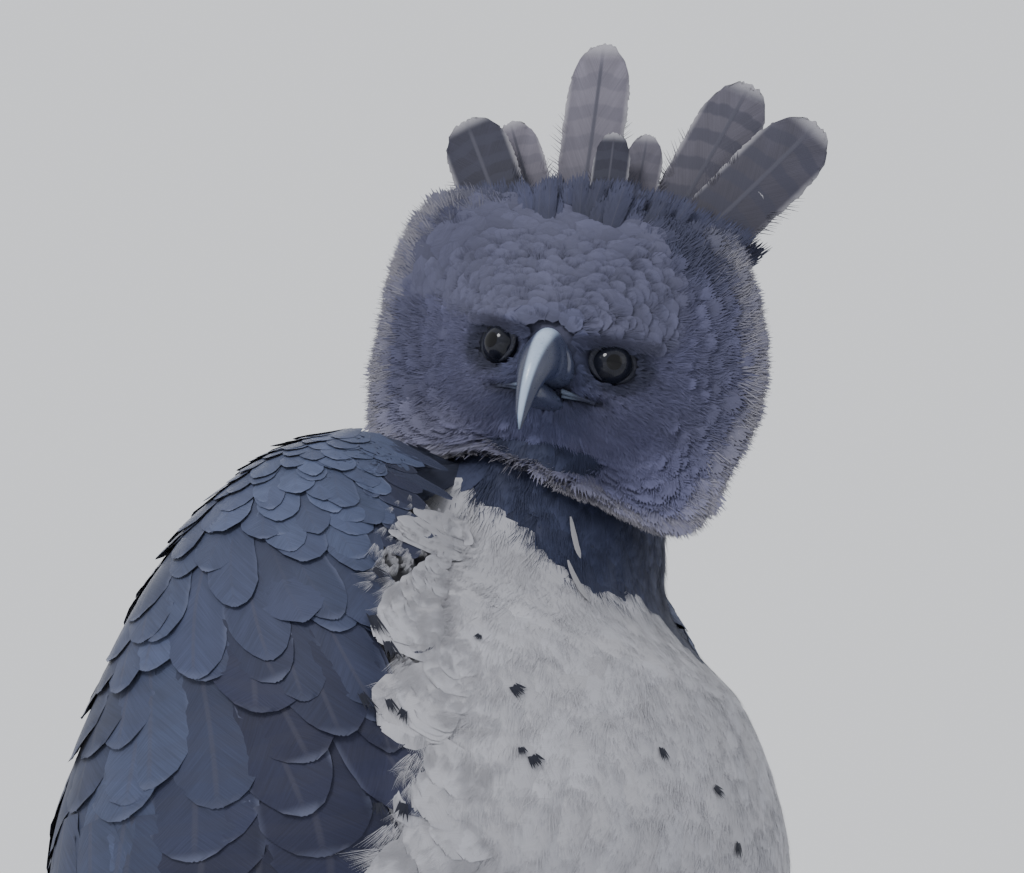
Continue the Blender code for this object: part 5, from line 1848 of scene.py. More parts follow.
@dataclass
class Crest:
    """The raised crest: long blades that widen to round ends, with short dark ones at their feet."""

    # Root and tip of each blade, as forward, left and up from the eyes, half width, and darkness
    blades: tuple = (
        ((-0.045, -0.052, 0.08), (-0.07, -0.093, 0.1185), 0.018, 0.9),
        ((-0.055, -0.038, 0.085), (-0.08, -0.074, 0.124), 0.0125, 0.05),
        ((-0.055, -0.023, 0.086), (-0.085, -0.036, 0.174), 0.0172, 0.12),
        ((-0.045, -0.003, 0.084), (-0.06, -0.011, 0.1235), 0.01, 0.92),
        ((-0.055, 0.008, 0.088), (-0.075, 0.001, 0.1285), 0.0105, 0.4),
        ((-0.055, 0.022, 0.089), (-0.085, 0.045, 0.1655), 0.0185, 0.5),
        ((-0.05, 0.037, 0.086), (-0.08, 0.087, 0.148), 0.0205, 0.72),
        ((-0.05, 0.043, 0.078), (-0.065, 0.066, 0.108), 0.0125, 0.75)
    )
    root_depth: float = 0.03
    step: float = 0.0045
    bow: float = 0.006
    barbs: int = 20
    collar_count: int = 420

    def build(self) -> list[Coat]:
        """The blades with small differences, and the collar of short feathers."""
        coat = Coat("coat_crest", CREST_FEATHERS, "head_grey", ("head",), seed=9)
        chance = np.random.default_rng(9)
        for number, (root, tip, half, dark) in enumerate(self.blades):
            back = self.step * (number % 3)
            start = HEAD.place(root[0] - back, 0.85 * root[1], root[2] - self.root_depth)
            end = HEAD.place(tip[0] - back, tip[1], tip[2])
            ahead = unit(end - start)
            middle = (start + end) / 2 - self.bow * HEAD.ahead
            tone = blend(CREST_PALE, CREST_DARK, np.array([dark]))
            batch = Batch(
                half=half, tone=tone * 0.7, tip=tone * 1.1, cup=0.1, bars=0.6 if dark > 0.45 else 0.22,
                fringe=0.55, shaft=0.95, thick=0.0008
            )
            vane = blade(Outline.CLUBBED, 46, 17, 40 + number, 0.045, thick=True)
            coat.carry(vane, batch, np.array([[start, middle, end]]), np.cross(ahead, HEAD.ahead)[None])
            self.down(coat, start, end, half, tone, number)
        self.collar(coat, chance)
        return [coat]

    def down(self, coat: Coat, start: Array, end: Array, half: float, tone: Array, number: int) -> None:
        """Loose barbs along a blade's lower sides.

        Args:
            coat: The coat they go into.
            start: The blade's root.
            end: Its tip.
            half: Its half width.
            tone: Its colour.
            number: Which blade it is.
        """
        chance = np.random.default_rng(60 + number)
        count = self.barbs
        at = np.linspace(0.18, 0.6, count)[:, None]
        ahead = unit(end - start)
        side = unit(np.cross(ahead, HEAD.ahead))
        sign = np.where(np.arange(count) % 2 == 0, 1.0, -1.0)[:, None]
        root = start + at * (end - start) + sign * half * 0.55 * side - self.bow * at * HEAD.ahead
        reach = 0.009 + 0.005 * chance.random((count, 1))
        tip = root + reach * ahead + sign * half * (0.45 + 0.25 * chance.random((count, 1))) * side
        tip = tip + 0.003 * (chance.random((count, 1)) - 0.5) * HEAD.ahead
        tones = np.repeat(tone, count, axis=0)
        batch = Batch(half=0.003, tone=tones * 0.8, tip=tones * 1.15, cup=0.1)
        bends = np.stack([root, (root + tip) / 2, tip], 1)
        coat.carry(tuft(6, 0.9, 61), batch, bends, np.tile(side, (count, 1)))

    def collar(self, coat: Coat, chance: Chance) -> None:
        """Short dark feathers that hide the blades' roots."""
        count = self.collar_count
        left = np.linspace(-0.064, 0.054, count) + 0.005 * (chance.random(count) - 0.5)
        depth = chance.random(count)
        forward = -0.026 - 0.052 * depth
        foot = 0.066 - 5.0 * left**2 + 0.004 * depth
        start = HEAD.place(forward, 0.95 * left, foot)
        rise = 0.016 + 0.016 * chance.random(count) + 0.006 * depth
        lean = 0.35 * left + 0.012 * (chance.random(count) - 0.5)
        end = HEAD.place(forward - 0.008 - 0.008 * depth, 0.95 * left + lean, foot + rise)
        middle = (start + end) / 2 + 0.002 * HEAD.ahead
        tone = COLLAR * (0.7 + 0.6 * chance.random((count, 1)))
        batch = Batch(
            half=0.004 + 0.002 * chance.random(count), tone=tone * 0.7, tip=tone * 1.1, cup=0.2, shaft=0.3
        )
        ahead = unit(end - start)
        across = np.cross(ahead, HEAD.ahead + 0.4 * (chance.random((count, 3)) - 0.5))
        bends = np.stack([start, middle, end], 1)
        coat.carry(frayed(Outline.ROUNDED, 5, 4, 6, 60), batch, bends, across)


@dataclass
class WingCoat:
    """A folded wing: scale-like coverts that grow towards the tips, then the flight feathers."""

    side: Side
    # Place along the body, length and half width of the coverts rooted there
    covert: Table = Table((
        (-0.165, 0.104, 0.027),
        (-0.06, 0.096, 0.0285),
        (0.01, 0.084, 0.0275),
        (0.06, 0.07, 0.024),
        (0.105, 0.052, 0.0185),
        (0.145, 0.03, 0.0105),
        (0.184, 0.018, 0.0062),
    ))
    # Flight feathers: count, root and tip along the body and across the wing, half width
    flight: tuple = (
        (9, (-0.13, -0.1), (-0.428, -0.335), (-0.3, 0.7), (-0.92, 0.86), 0.019),
        (11, (-0.06, -0.04), (-0.345, -0.255), (-0.86, 0.88), (-0.88, 0.9), 0.025),
        (9, (-0.03, -0.02), (-0.23, -0.2), (-0.88, 0.88), (-0.9, 0.88), 0.029)
    )
    # Where the lowest row of coverts is rooted
    lowest: float = -0.165
    scapulars: int = 60

    def build(self) -> list[Coat]:
        """Coverts and flight feathers of one wing."""
        name = self.side.word
        seed = 20 + self.side.value
        chance = np.random.default_rng(seed)
        surface = Wing(self.side)
        coverts = Coat(f"coat_coverts_{name}", FEATHERS, "wing_slate", (f"wing_{name}",), seed=seed)
        flight = Coat(f"coat_flight_{name}", FLIGHT, "wing_slate", (f"wing_{name}",), seed=seed)
        self.lay_flight(flight, surface, chance)
        self.lay_coverts(coverts, surface, chance)
        if self.side is Side.RIGHT:
            self.lay_scapulars(coverts, surface, chance)
        return [coverts, flight]

    def lay_scapulars(self, coat: Coat, surface: Wing, chance: Chance) -> None:
        """Dark feathers from the foot of the neck over to the wing's shoulder, which close the gap there."""
        count = self.scapulars
        away = self.side.value * np.radians(62 + 24 * chance.random(count))
        start = Trunk().point(0.034 + 0.026 * chance.random(count), away, -0.005)
        end = surface.point(0.146 + 0.026 * chance.random(count), 0.7 + 0.42 * chance.random(count), 0.0)
        facing = unit(self.side.value * BODY.left - BODY.up)
        middle = (start + end) / 2 - 0.003 * facing
        tone = MANTLE * (0.7 + 0.4 * chance.random((count, 1)))
        batch = Batch(half=0.0055 + 0.0025 * chance.random(count), tone=tone * 0.8, tip=tone * 1.05, cup=0.12)
        across = np.cross(unit(end - start), facing)
        coat.carry(frayed(Outline.BROAD, 7, 5, 10, 99), batch, np.stack([start, middle, end], 1), across)

    def lay_flight(self, coat: Coat, surface: Wing, chance: Chance) -> None:
        """Three tiers of long feathers, each over the one below."""
        for tier, (count, roots, tips, root_across, tip_across, half) in enumerate(self.flight):
            share = np.linspace(0, 1, count)
            u = roots[0] + share * (roots[1] - roots[0])
            end = tips[0] + share * (tips[1] - tips[0]) + 0.006 * (chance.random(count) - 0.5)
            v = root_across[0] + share * (root_across[1] - root_across[0])
            v_end = tip_across[0] + share * (tip_across[1] - tip_across[0])
            tone = WING_DARK * (0.85 + 0.3 * chance.random((count, 1)))
            vane = blade(Outline.LONG, 30, 9, 70 + tier, 0.05, thick=True)
            middle = (u + end) / 2
            edges = surface.point(middle, v_end + 0.05) - surface.point(middle, v_end - 0.05)
            gauge = np.linalg.norm(edges, axis=-1)
            along = u[:, None] + vane.along[None] * (end - u)[:, None]
            across = v[:, None] + vane.along[None] * (v_end - v)[:, None]
            across = across + vane.across[None] * (half / gauge * 0.1)[:, None]
            layer = (-0.0032 + 0.0015 * tier) + (0.003 + 0.001 * tier) * vane.along[None]
            lift = layer + 0.002 * vane.across[None] + 0.06 * half * (1 - vane.across[None] ** 2)
            points = surface.point(along, across, lift - 0.0007 * vane.under[None])
            batch = Batch(
                u=u, v=v, length=u - end, half=half, tone=tone * 0.8, tip=tone * 1.1,
                bars=0.28, fringe=0.22, shaft=0.6
            )
            cells = math.ceil(math.sqrt(count * 3))
            number = np.arange(count) + count * tier
            place = np.stack([number % cells, number // cells], -1) / (cells + 1)
            coat.add(points, vane, batch, place, 0.9 / (cells + 1))

    def lay_coverts(self, coat: Coat, surface: Wing, chance: Chance) -> None:
        """Rows from the flight feathers' roots up to the shoulder, each over the one below."""
        start, end = self.lowest, WING_TOP - 0.002
        span = end - start

        def size(share: float) -> Array:
            """Length and half width at a share of the way up."""
            return self.covert(start + share * span)

        step, gap = (lambda s: 0.36 * size(s)[0]), (lambda s: 0.95 * size(s)[1])
        u, v, _ = scatter(surface, (start, end), (-1.03, 1.08), step, gap, chance, 1.0)
        length, half = np.moveaxis(self.covert(u), -1, 0)
        count = len(u)
        vary = 0.75 + 0.45 * chance.random(count)
        top = ease(u, -0.02, 0.13)
        light = np.maximum(ease(u, 0.07, 0.17), 0.85 * ease(v, 0.6, 0.1)) * ease(v, 1.1, 0.85)
        blue = blend(WING_DARK, WING_BLUE, light * (0.8 + 0.4 * chance.random(count)))
        behind = ease(v, 0.34, -0.55)
        tone = blend(blue, 0.7 * MANTLE, behind) * (0.86 + 0.28 * chance.random((count, 1)))
        edge = ease(np.abs(v), 0.8, 1.0)
        front = ease(v, 0.2, 1.0)
        batch = Batch(
            u=u, v=v, length=length * vary * (1 - 0.35 * edge),
            half=half * (0.85 + 0.3 * chance.random(count)) * (1 - 0.3 * edge), tone=tone * 0.86,
            tip=tone * 1.04,
            heading=0.38 + 0.25 * front * top - 0.55 * ease(v, 0.0, -0.9) + 0.55 * (
                chance.random(count) - 0.5
            ), root_lift=0.0004 + 0.003 * ease(u, 0.0, -0.06),
            tip_lift=0.002 + 0.003 * ease(u, 0.0, -0.06) + 0.02 * length + (
                0.0015 + 0.0025 * behind
            ) * chance.random(count), cup=0.05, bars=np.where(length > 0.06, 0.1, 0.0),
            fringe=0.06 + 0.3 * chance.random(count) ** 2 + 0.16 * behind,
            shaft=np.where(length > 0.05, 0.3, 0.1)
        )
        large = batch.length > 0.045
        unwrap = (-0.12, -1.0, 0.19, 1.0)
        for k in range(4):
            fourth = np.arange(count) % 4 == k
            fine, plain = blade(Outline.BROAD, 16, 9, 80 + k, 0.03), blade(Outline.BROAD, 9, 7, 90 + k, 0.04)
            coat.lay(surface, fine, batch.kept(large & fourth), -1.0, unwrap)
            coat.lay(surface, plain, batch.kept(~large & fourth), -1.0, unwrap)


@dataclass
class TailCoat:
    """Twelve long tail feathers, the middle pair on top, with coverts over their roots."""

    pairs: int = 6
    length: float = 0.395
    half: float = 0.0245
    spread: float = 0.0062
    step: float = 0.0022
    shorter: float = 0.004

    def build(self) -> list[Coat]:
        """Tail feathers and coverts."""
        coat = Coat("coat_tail", TAIL_FEATHERS, "tail_bars", ("tail",), seed=31)
        chance = np.random.default_rng(31)
        side = np.repeat([1.0, -1.0], self.pairs)
        rank = np.tile(np.arange(self.pairs), 2)
        end = self.length - self.shorter * rank
        left = side * (0.003 + self.spread * rank)
        drop = self.step * (rank + 0.5 * (side < 0))
        root = tail_point(0.03 + 0 * end, 0.4 * left, 0.004 - drop)
        bend = tail_point(0.5 * end, 0.7 * left, 0.004 - drop)
        tip = tail_point(end, left, 0.01 - drop)
        count = len(rank)
        tone = TAIL_DARK * (0.85 + 0.3 * chance.random((count, 1)))
        batch = Batch(
            length=end, half=self.half, tone=tone, tip=tone * 1.1, cup=0.03, bars=0.85, fringe=0.25,
            shaft=0.7, thick=0.0006
        )
        across = np.tile(-TAIL.left, (count, 1))
        vane = blade(Outline.SQUARE, 44, 9, 33, 0.05, thick=True)
        coat.carry(vane, batch, np.stack([root, bend, tip], 1), across)
        covers = Coat("coat_tail_coverts", BARRED, "tail_bars", ("tail",), seed=34)
        surface = TailRoot()
        u, v, _ = scatter(surface, (0.1, -0.02), (-math.pi, math.pi), 0.013, 0.013, chance, 0.4)
        count = len(u)
        upper = ease(np.cos(v), -0.2, 0.2)
        tone = blend(CREAM, MANTLE, upper) * (0.85 + 0.3 * chance.random((count, 1)))
        batch = Batch(
            u=u, v=v, length=0.055 * (0.8 + 0.4 * chance.random(count)), half=0.0115, tone=tone * 0.8,
            tip=tone, heading=0.2 * (chance.random(count) - 0.5),
            tip_lift=0.003 + 0.002 * chance.random(count), bars=0.55 * (1 - 0.6 * upper), fringe=0.2
        )
        unwrap = (-0.03, -math.pi, 0.16, math.pi)
        covers.lay(surface, blade(Outline.BROAD, 9, 6, 35, 0.08), batch, 1.0, unwrap)
        return [coat, covers]


def leg_points(side: Side) -> tuple[Array, Array, Array]:
    """Knee, ankle and foot of one leg."""
    knee = np.array([side.value * 0.074, -0.048, 0.468])
    ankle = np.array([side.value * 0.07, 0.036, 0.392])
    foot = np.array([side.value * 0.072, 0.0, PERCH_TOP + 0.014])
    return knee, ankle, foot


PERCH_TOP = 0.28
PERCH_RADIUS = 0.04
PERCH_LENGTH = 0.44
THIGH_RADII = (0.042, 0.057, 0.06, 0.051, 0.037, 0.024)
THIGH_PLACES = (-0.25, 0.0, 0.3, 0.6, 0.85, 1.0)


def thigh_surface(side: Side) -> Limb:
    """The upper leg from above the knee to the ankle."""
    knee, ankle, _ = leg_points(side)
    long = float(np.linalg.norm(ankle - knee))
    rows = tuple((place * long, radius) for place, radius in zip(THIGH_PLACES, THIGH_RADII))
    return Limb(knee, ankle, Table(rows))


@dataclass
class Trousers:
    """A thigh's barred feathers, the lowest of which hang loose round the ankle."""

    side: Side
    hanging: int = 46
    hang: float = 0.036

    def build(self) -> list[Coat]:
        """Rows over the thigh and the hanging ones."""
        name = self.side.word
        seed = 50 + self.side.value
        chance = np.random.default_rng(seed)
        coat = Coat(f"coat_thigh_{name}", BARRED, "thigh_barred", (f"thigh_{name}",), seed=seed)
        surface = thigh_surface(self.side)
        long = float(np.linalg.norm(surface.end - surface.start))
        u, v, _ = scatter(surface, (long * 0.92, -0.028), (-math.pi, math.pi), 0.0075, 0.008, chance, 0.5)
        count = len(u)
        tone = WHITE * (0.8 + 0.25 * chance.random((count, 1)))
        batch = Batch(
            u=u, v=v, length=0.026 * (0.8 + 0.4 * chance.random(count)),
            half=0.0075 * (0.8 + 0.4 * chance.random(count)), tone=tone * 0.85, tip=tone,
            heading=0.3 * (chance.random(count) - 0.5), tip_lift=0.003 + 0.003 * chance.random(count),
            bars=0.75
        )
        for k in range(3):
            pick = np.arange(count) % 3 == k
            vane = frayed(Outline.BROAD, 5, 4, 6, 100 + k)
            coat.lay(surface, vane, batch.kept(pick), 1.0, (-0.04, -math.pi, 0.12, math.pi))
        self.loose(coat, chance)
        return [coat]

    def loose(self, coat: Coat, chance: Chance) -> None:
        """Long feathers from the thigh's lower half down past the ankle."""
        knee, ankle, foot = leg_points(self.side)
        along, down = unit(ankle - knee), unit(foot - ankle)
        right = unit(np.cross(along, [0.0, 0.0, 1.0]))
        above = np.cross(right, along)
        turn = full_turn(self.hanging) + 0.1 * chance.random(self.hanging)
        away = np.cos(turn)[:, None] * above + np.sin(turn)[:, None] * right
        low = unit(away - (away @ down)[:, None] * down)
        reach = (self.hang * (0.7 + 0.35 * chance.random(self.hanging)))[:, None]
        root = knee + 0.5 * (ankle - knee) + 0.047 * away
        bend = ankle - 0.01 * along + 0.04 * unit(away + 0.3 * low)
        tip = ankle + reach * down + (0.018 + 0.006 * chance.random((self.hanging, 1))) * low
        tone = WHITE * (0.8 + 0.25 * chance.random((self.hanging, 1)))
        batch = Batch(
            half=0.0075 + 0.002 * chance.random(self.hanging), tone=tone * 0.85, tip=tone, cup=0.12,
            bars=0.9, shaft=0.3
        )
        across = np.cross(away, down + along)
        coat.carry(frayed(Outline.ROUNDED, 12, 5, 14, 110), batch, np.stack([root, bend, tip], 1), across)


@dataclass
class Skin:
    """One skin under all the feathers: closed parts joined, remeshed and smoothed."""

    coats: list
    voxel: float = 0.0035
    passes: int = 8

    def parts(self) -> list[tuple[Array, Array]]:
        """Closed meshes of trunk, face plate, skull, wings, thighs and tail root."""
        around = np.linspace(-math.pi, math.pi, 72, endpoint=False)
        trunk = Trunk().grid(np.linspace(TORSO_END - NECK_FOOT, 0.118, 60), around, -0.004)
        made = [closed_tube(trunk)]
        skull = Skull().grid(np.linspace(-0.1125, -0.016, 28), around, -0.004)
        made.append(closed_tube(skull))
        shares = np.linspace(0.02, 0.88, 40)
        plate = FacePlate().grid(shares, around, -0.003)
        deep = (0.03 * (1 - shares) + 0.007)[:, None, None] * HEAD.ahead
        rings = np.concatenate([plate, (plate - deep)[::-1]])
        made.append(closed_tube(rings))
        for side in Side:
            along = np.linspace(WING_CORE_END, WING_TOP, 60)[:, None]
            across = np.linspace(-0.985, 0.985, 40)
            wing = Wing(side)
            thick = WING(along)[..., 3] * np.sqrt(np.clip(1 - across**2, 0.01, 1))
            thick = np.maximum(thick, 0.01)
            made.append(shell(wing.point(along, across, -0.004), wing.point(along, across, -0.004 - thick)))
            limb = thigh_surface(side)
            long = float(np.linalg.norm(limb.end - limb.start))
            made.append(closed_tube(limb.grid(np.linspace(-0.028, long, 24), around, -0.003)))
        made.append(closed_tube(TailRoot().grid(np.linspace(-0.02, 0.14, 24), around, -0.003)))
        return made

    def build(self) -> bpy.types.Object:
        """Joins and smooths the parts and tones them from the nearest feathers."""
        made = fused("skin", self.parts(), self.voxel, self.passes)
        self.tint(made.data)
        nodes = ("torso", "neck", "head", "wing_left", "wing_right", "thigh_left", "thigh_right", "tail")
        dress(made, Hide("hide"), nodes)
        LOG.info("skin: %d faces", len(made.data.polygons))
        return made

    def tint(self, mesh: bpy.types.Mesh) -> None:
        """Gives each point of the skin the tone of the nearest feather's root."""
        pairs = [pair for coat in self.coats for pair in coat.roots]
        roots, tones = (np.concatenate([pair[k] for pair in pairs]) for k in (0, 1))
        tree = kdtree.KDTree(len(roots))
        for number, root in enumerate(roots.tolist()):
            tree.insert(root, number)
        tree.balance()
        places = np.empty(len(mesh.vertices) * 3, np.float32)
        mesh.vertices.foreach_get("co", places)
        put_colour(mesh, "Tone", tones[[tree.find(place)[1] for place in places.reshape(-1, 3).tolist()]])


@dataclass
class Bill:
    """Upper and lower bill, lofted from ridge to cutting edge, with nostrils and mouth corner."""

    # Forward and up of the ridge, the same of the cutting edge, half width
    upper: tuple = (
        ((0.004, 0.0066), (0.0, -0.019), 0.0123),
        ((0.008, 0.007), (0.002, -0.019), 0.0122),
        ((0.018, 0.0088), (0.012, -0.0186), 0.012),
        ((0.028, 0.008), (0.022, -0.0186), 0.0112),
        ((0.0375, 0.0025), (0.03, -0.0188), 0.0098),
        ((0.0452, -0.006), (0.0365, -0.02), 0.008),
        ((0.0502, -0.0165), (0.0405, -0.0235), 0.0062),
        ((0.0515, -0.028), (0.043, -0.03), 0.0045),
        ((0.049, -0.0385), (0.044, -0.037), 0.0029),
        ((0.0445, -0.045), (0.0437, -0.0432), 0.001)
    )
    lower: tuple = (
        ((0.0, -0.018), (0.002, -0.029), 0.01),
        ((0.014, -0.0178), (0.016, -0.0295), 0.0092),
        ((0.025, -0.018), (0.026, -0.0285), 0.007),
        ((0.032, -0.0186), (0.0325, -0.0275), 0.0042),
        ((0.035, -0.02), (0.035, -0.0258), 0.0018)
    )
    lean: float = 0.06
    nostril: tuple = (0.02, -0.005, 0.0019, 0.0044)
    # Pale ridge colour: a painted highlight along the top of the dark horn
    ridge_tone: Colour = (0.3, 0.375, 0.495)
    side_tone: Colour = (0.016, 0.022, 0.052)
    cere_tone: Colour = (0.038, 0.045, 0.082)

    def half(self, sections: tuple, rings: int, around: int) -> tuple[Array, Array, Array]:
        """Rings of a bill half: an oval between ridge and edge at each section, widest low down.

        Args:
            sections: The sections, root to tip.
            rings: How many rings to loft.
            around: Points round each ring.

        Returns:
            The points, each ring's share of the length and the angle from the ridge.
        """
        rows = tuple((k / (len(sections) - 1), *r, *e, w) for k, (r, e, w) in enumerate(sections))
        at = np.linspace(0, 1, rings)
        rf, ru, ef, eu, wide = np.moveaxis(Table(rows)(at), -1, 0)[..., None]
        turn = full_turn(around)[None, :]
        cosine = np.cos(turn)
        forward = (rf + ef) / 2 + cosine * (rf - ef) / 2
        up = (ru + eu) / 2 + cosine * (ru - eu) / 2
        sine = np.sin(turn)
        side = wide * np.sign(sine) * np.abs(sine) ** 0.88 * (1 - 0.34 * cosine) + self.lean * forward
        return np.stack([forward, side, up], -1), np.broadcast_to(at[:, None], forward.shape), cosine

    def build(self) -> None:
        """Both halves, as horn whose tone runs from a painted highlight along the ridge to dark sides, and
        the mouth's corners.
        """
        for name, sections, rings in (("bill_upper", self.upper, 90), ("bill_lower", self.lower, 50)):
            local, at, cosine = self.half(sections, rings, 72)
            upper = name == "bill_upper"
            tone = self.tone(local, at, cosine, upper)
            local = self.carve(local) if upper else local
            horn = HEAD.place(*np.moveaxis(local, -1, 0))
            turned_piece(f"{name}_horn", horn, Horn("bill_horn"), name, tone)
        for side in Side:
            self.lip(side)
        LOG.info("bill built")

    def lip(self, side: Side) -> None:
        """The mouth's pale corner: two soft lips from the bill's edge back under the eye."""
        at = np.linspace(0, 1, 30)
        lips = []
        for gap in (0.0009, -0.0009):
            left = side.value * (0.009 + 0.0165 * at)
            up = -0.019 - 0.0022 * at + gap * (1 - 0.6 * at)
            v = np.arctan2(left, up)
            u = np.hypot(left, up) / RUFF(np.degrees(v))[..., 0]
            path = FacePlate().point(u, v, 0.0012 * (1 - at) + 0.0003)
            lips.append(closed_tube(tube(path, 0.0012 * (1 - 0.6 * at), 14, HEAD.up)))
        points, faces = joined(lips)
        piece = mesh_object(f"lip_{side.word}", points, faces)
        share = ease(np.abs((points - HEAD.place(0.0, 0.0, 0.0)) @ HEAD.left), 0.013, 0.019)
        put_colour(piece.data, "Tone", blend((0.11, 0.14, 0.2), (0.04, 0.045, 0.08), share))
        skin = Leather("lip_skin", scale=900.0, crease=0.2, roughness=0.5)
        dress(piece, skin, ("bill_upper",))

    def slit(self, forward: Array, up: Array) -> Array:
        """How deep each point lies in the nostril, 1 in its middle."""
        f, u, wide, tall = self.nostril
        return bell((forward - f) / wide, (up - u - 0.5 * (forward - f)) / tall)

    def carve(self, local: Array) -> Array:
        """Sinks the nostrils and makes a step where the cere ends."""
        forward, side, up = np.moveaxis(local, -1, 0)
        sink = 1 - 0.3 * self.slit(forward, up)
        step = 1 + 0.045 * ease(forward + 0.25 * up, 0.03, 0.026)
        return np.stack([forward, side * sink * step, up], -1)

    def tone(self, local: Array, at: Array, cosine: Array, upper: bool) -> Array:
        """A painted highlight along the ridge, dark on the sides, greyer over the cere, and near black as
        painted shade in the nostril.

        Args:
            local: Points of each ring: forward, side and up.
            at: Share of the length.
            cosine: Cosine of the angle from the ridge.
            upper: Whether it is the upper half.

        Returns:
            A colour for each point.
        """
        forward, up = local[..., 0], local[..., 2]
        # Painted highlight: the ridge is coloured pale on both sides
        ridge = ease(cosine, 0.74, 0.95) if upper else np.zeros_like(cosine)
        ridge = np.broadcast_to(ridge, at.shape) * ease(at, 0.1, 0.24)
        tone = blend(self.side_tone, self.ridge_tone, ridge)
        cere = ease(forward + 0.25 * up, 0.031, 0.024) * (1 - 0.6 * ridge)
        tone = blend(tone, self.cere_tone, cere)
        # Painted shade: the sunk nostril is coloured near black
        if upper:
            tone = blend(tone, (0.006, 0.006, 0.01), ease(self.slit(forward, up), 0.35, 0.75))
        return blend(tone, np.array(self.side_tone) * 0.6, 0.5 * ease(at, 0.9, 1.0))


@dataclass
class Eyes:
    """Eyeballs with a raised cornea, and the bare lids that hug them."""

    look: float = math.radians(26)
    lid_tone: Colour = (0.01, 0.012, 0.024)
    lid_look: float = math.radians(34)
    # Half width and half height of the lids' opening, and how far it lies before the eye's middle
    lid_reach: tuple = (0.0114, 0.0086, 0.0048)
    # Half thickness of the lower lid, and how much more the upper one has
    lid_thick: tuple = (0.0015, 0.001)
    rings: int = 48
    around: int = 64

    def build(self) -> None:
        """Both eyes and their lids."""
        for side in Side:
            centre = HEAD.place(EYE_FORWARD, side.value * EYE_SIDE, 0.0)
            gaze = math.cos(self.look) * HEAD.ahead + side.value * math.sin(self.look) * HEAD.left
            sideways = unit(np.cross(HEAD.up, gaze))
            above = np.cross(gaze, sideways)
            angle = np.linspace(0.0, math.pi, self.rings)[1:-1, None]
            spoke = full_turn(self.around)[None, :]
            bulge = EYE_RADIUS * (1 + 0.035 * ease(angle, 0.85, 0.35))
            away = np.cos(spoke)[..., None] * sideways + np.sin(spoke)[..., None] * above
            way = np.cos(angle)[..., None] * gaze + np.sin(angle)[..., None] * away
            ball = centre + bulge[..., None] * way
            values = np.stack(arrays(angle, spoke, 0.0, 1.0), -1)
            node = f"eye_{side.word}"
            turned_piece(f"{node}_ball", ball, Eyeball("wet_eye"), node, values, "Gaze")
            self.lids(side, centre)
        LOG.info("eyes built")

    def lids(self, side: Side, centre: Array) -> None:
        """A soft ring round the eye's opening, thicker along the upper edge."""
        ahead, aside = math.cos(self.lid_look), side.value * math.sin(self.lid_look)
        out = ahead * HEAD.ahead + aside * HEAD.left
        along = side.value * (ahead * HEAD.left - aside * HEAD.ahead)
        wide, tall, before = self.lid_reach
        turn, small = full_turn(96), full_turn(16)
        spread = (np.cos(turn) * wide)[:, None] * along + (np.sin(turn) * tall)[:, None] * HEAD.up
        thick = self.lid_thick[0] + self.lid_thick[1] * np.clip(np.sin(turn), 0, 1)
        rings = (centre + before * out + spread)[:, None]
        rings = rings + (thick[:, None] * np.cos(small))[..., None] * unit(spread)[:, None]
        rings = rings + (0.8 * thick[:, None] * np.sin(small))[..., None] * out
        place = np.arange(96 * 16).reshape(96, 16)
        below, right = np.roll(place, -1, 0), np.roll(place, -1, 1)
        faces = np.stack([place, right, np.roll(below, -1, 1), below], -1).reshape(-1, 4)
        points = rings.reshape(-1, 3)
        piece = mesh_object(f"lids_{side.word}", points, outward(points, faces))
        put_colour(piece.data, "Tone", self.lid_tone)
        dress(piece, Leather("lid_skin", scale=900.0, crease=0.25, roughness=0.5), ("head",))


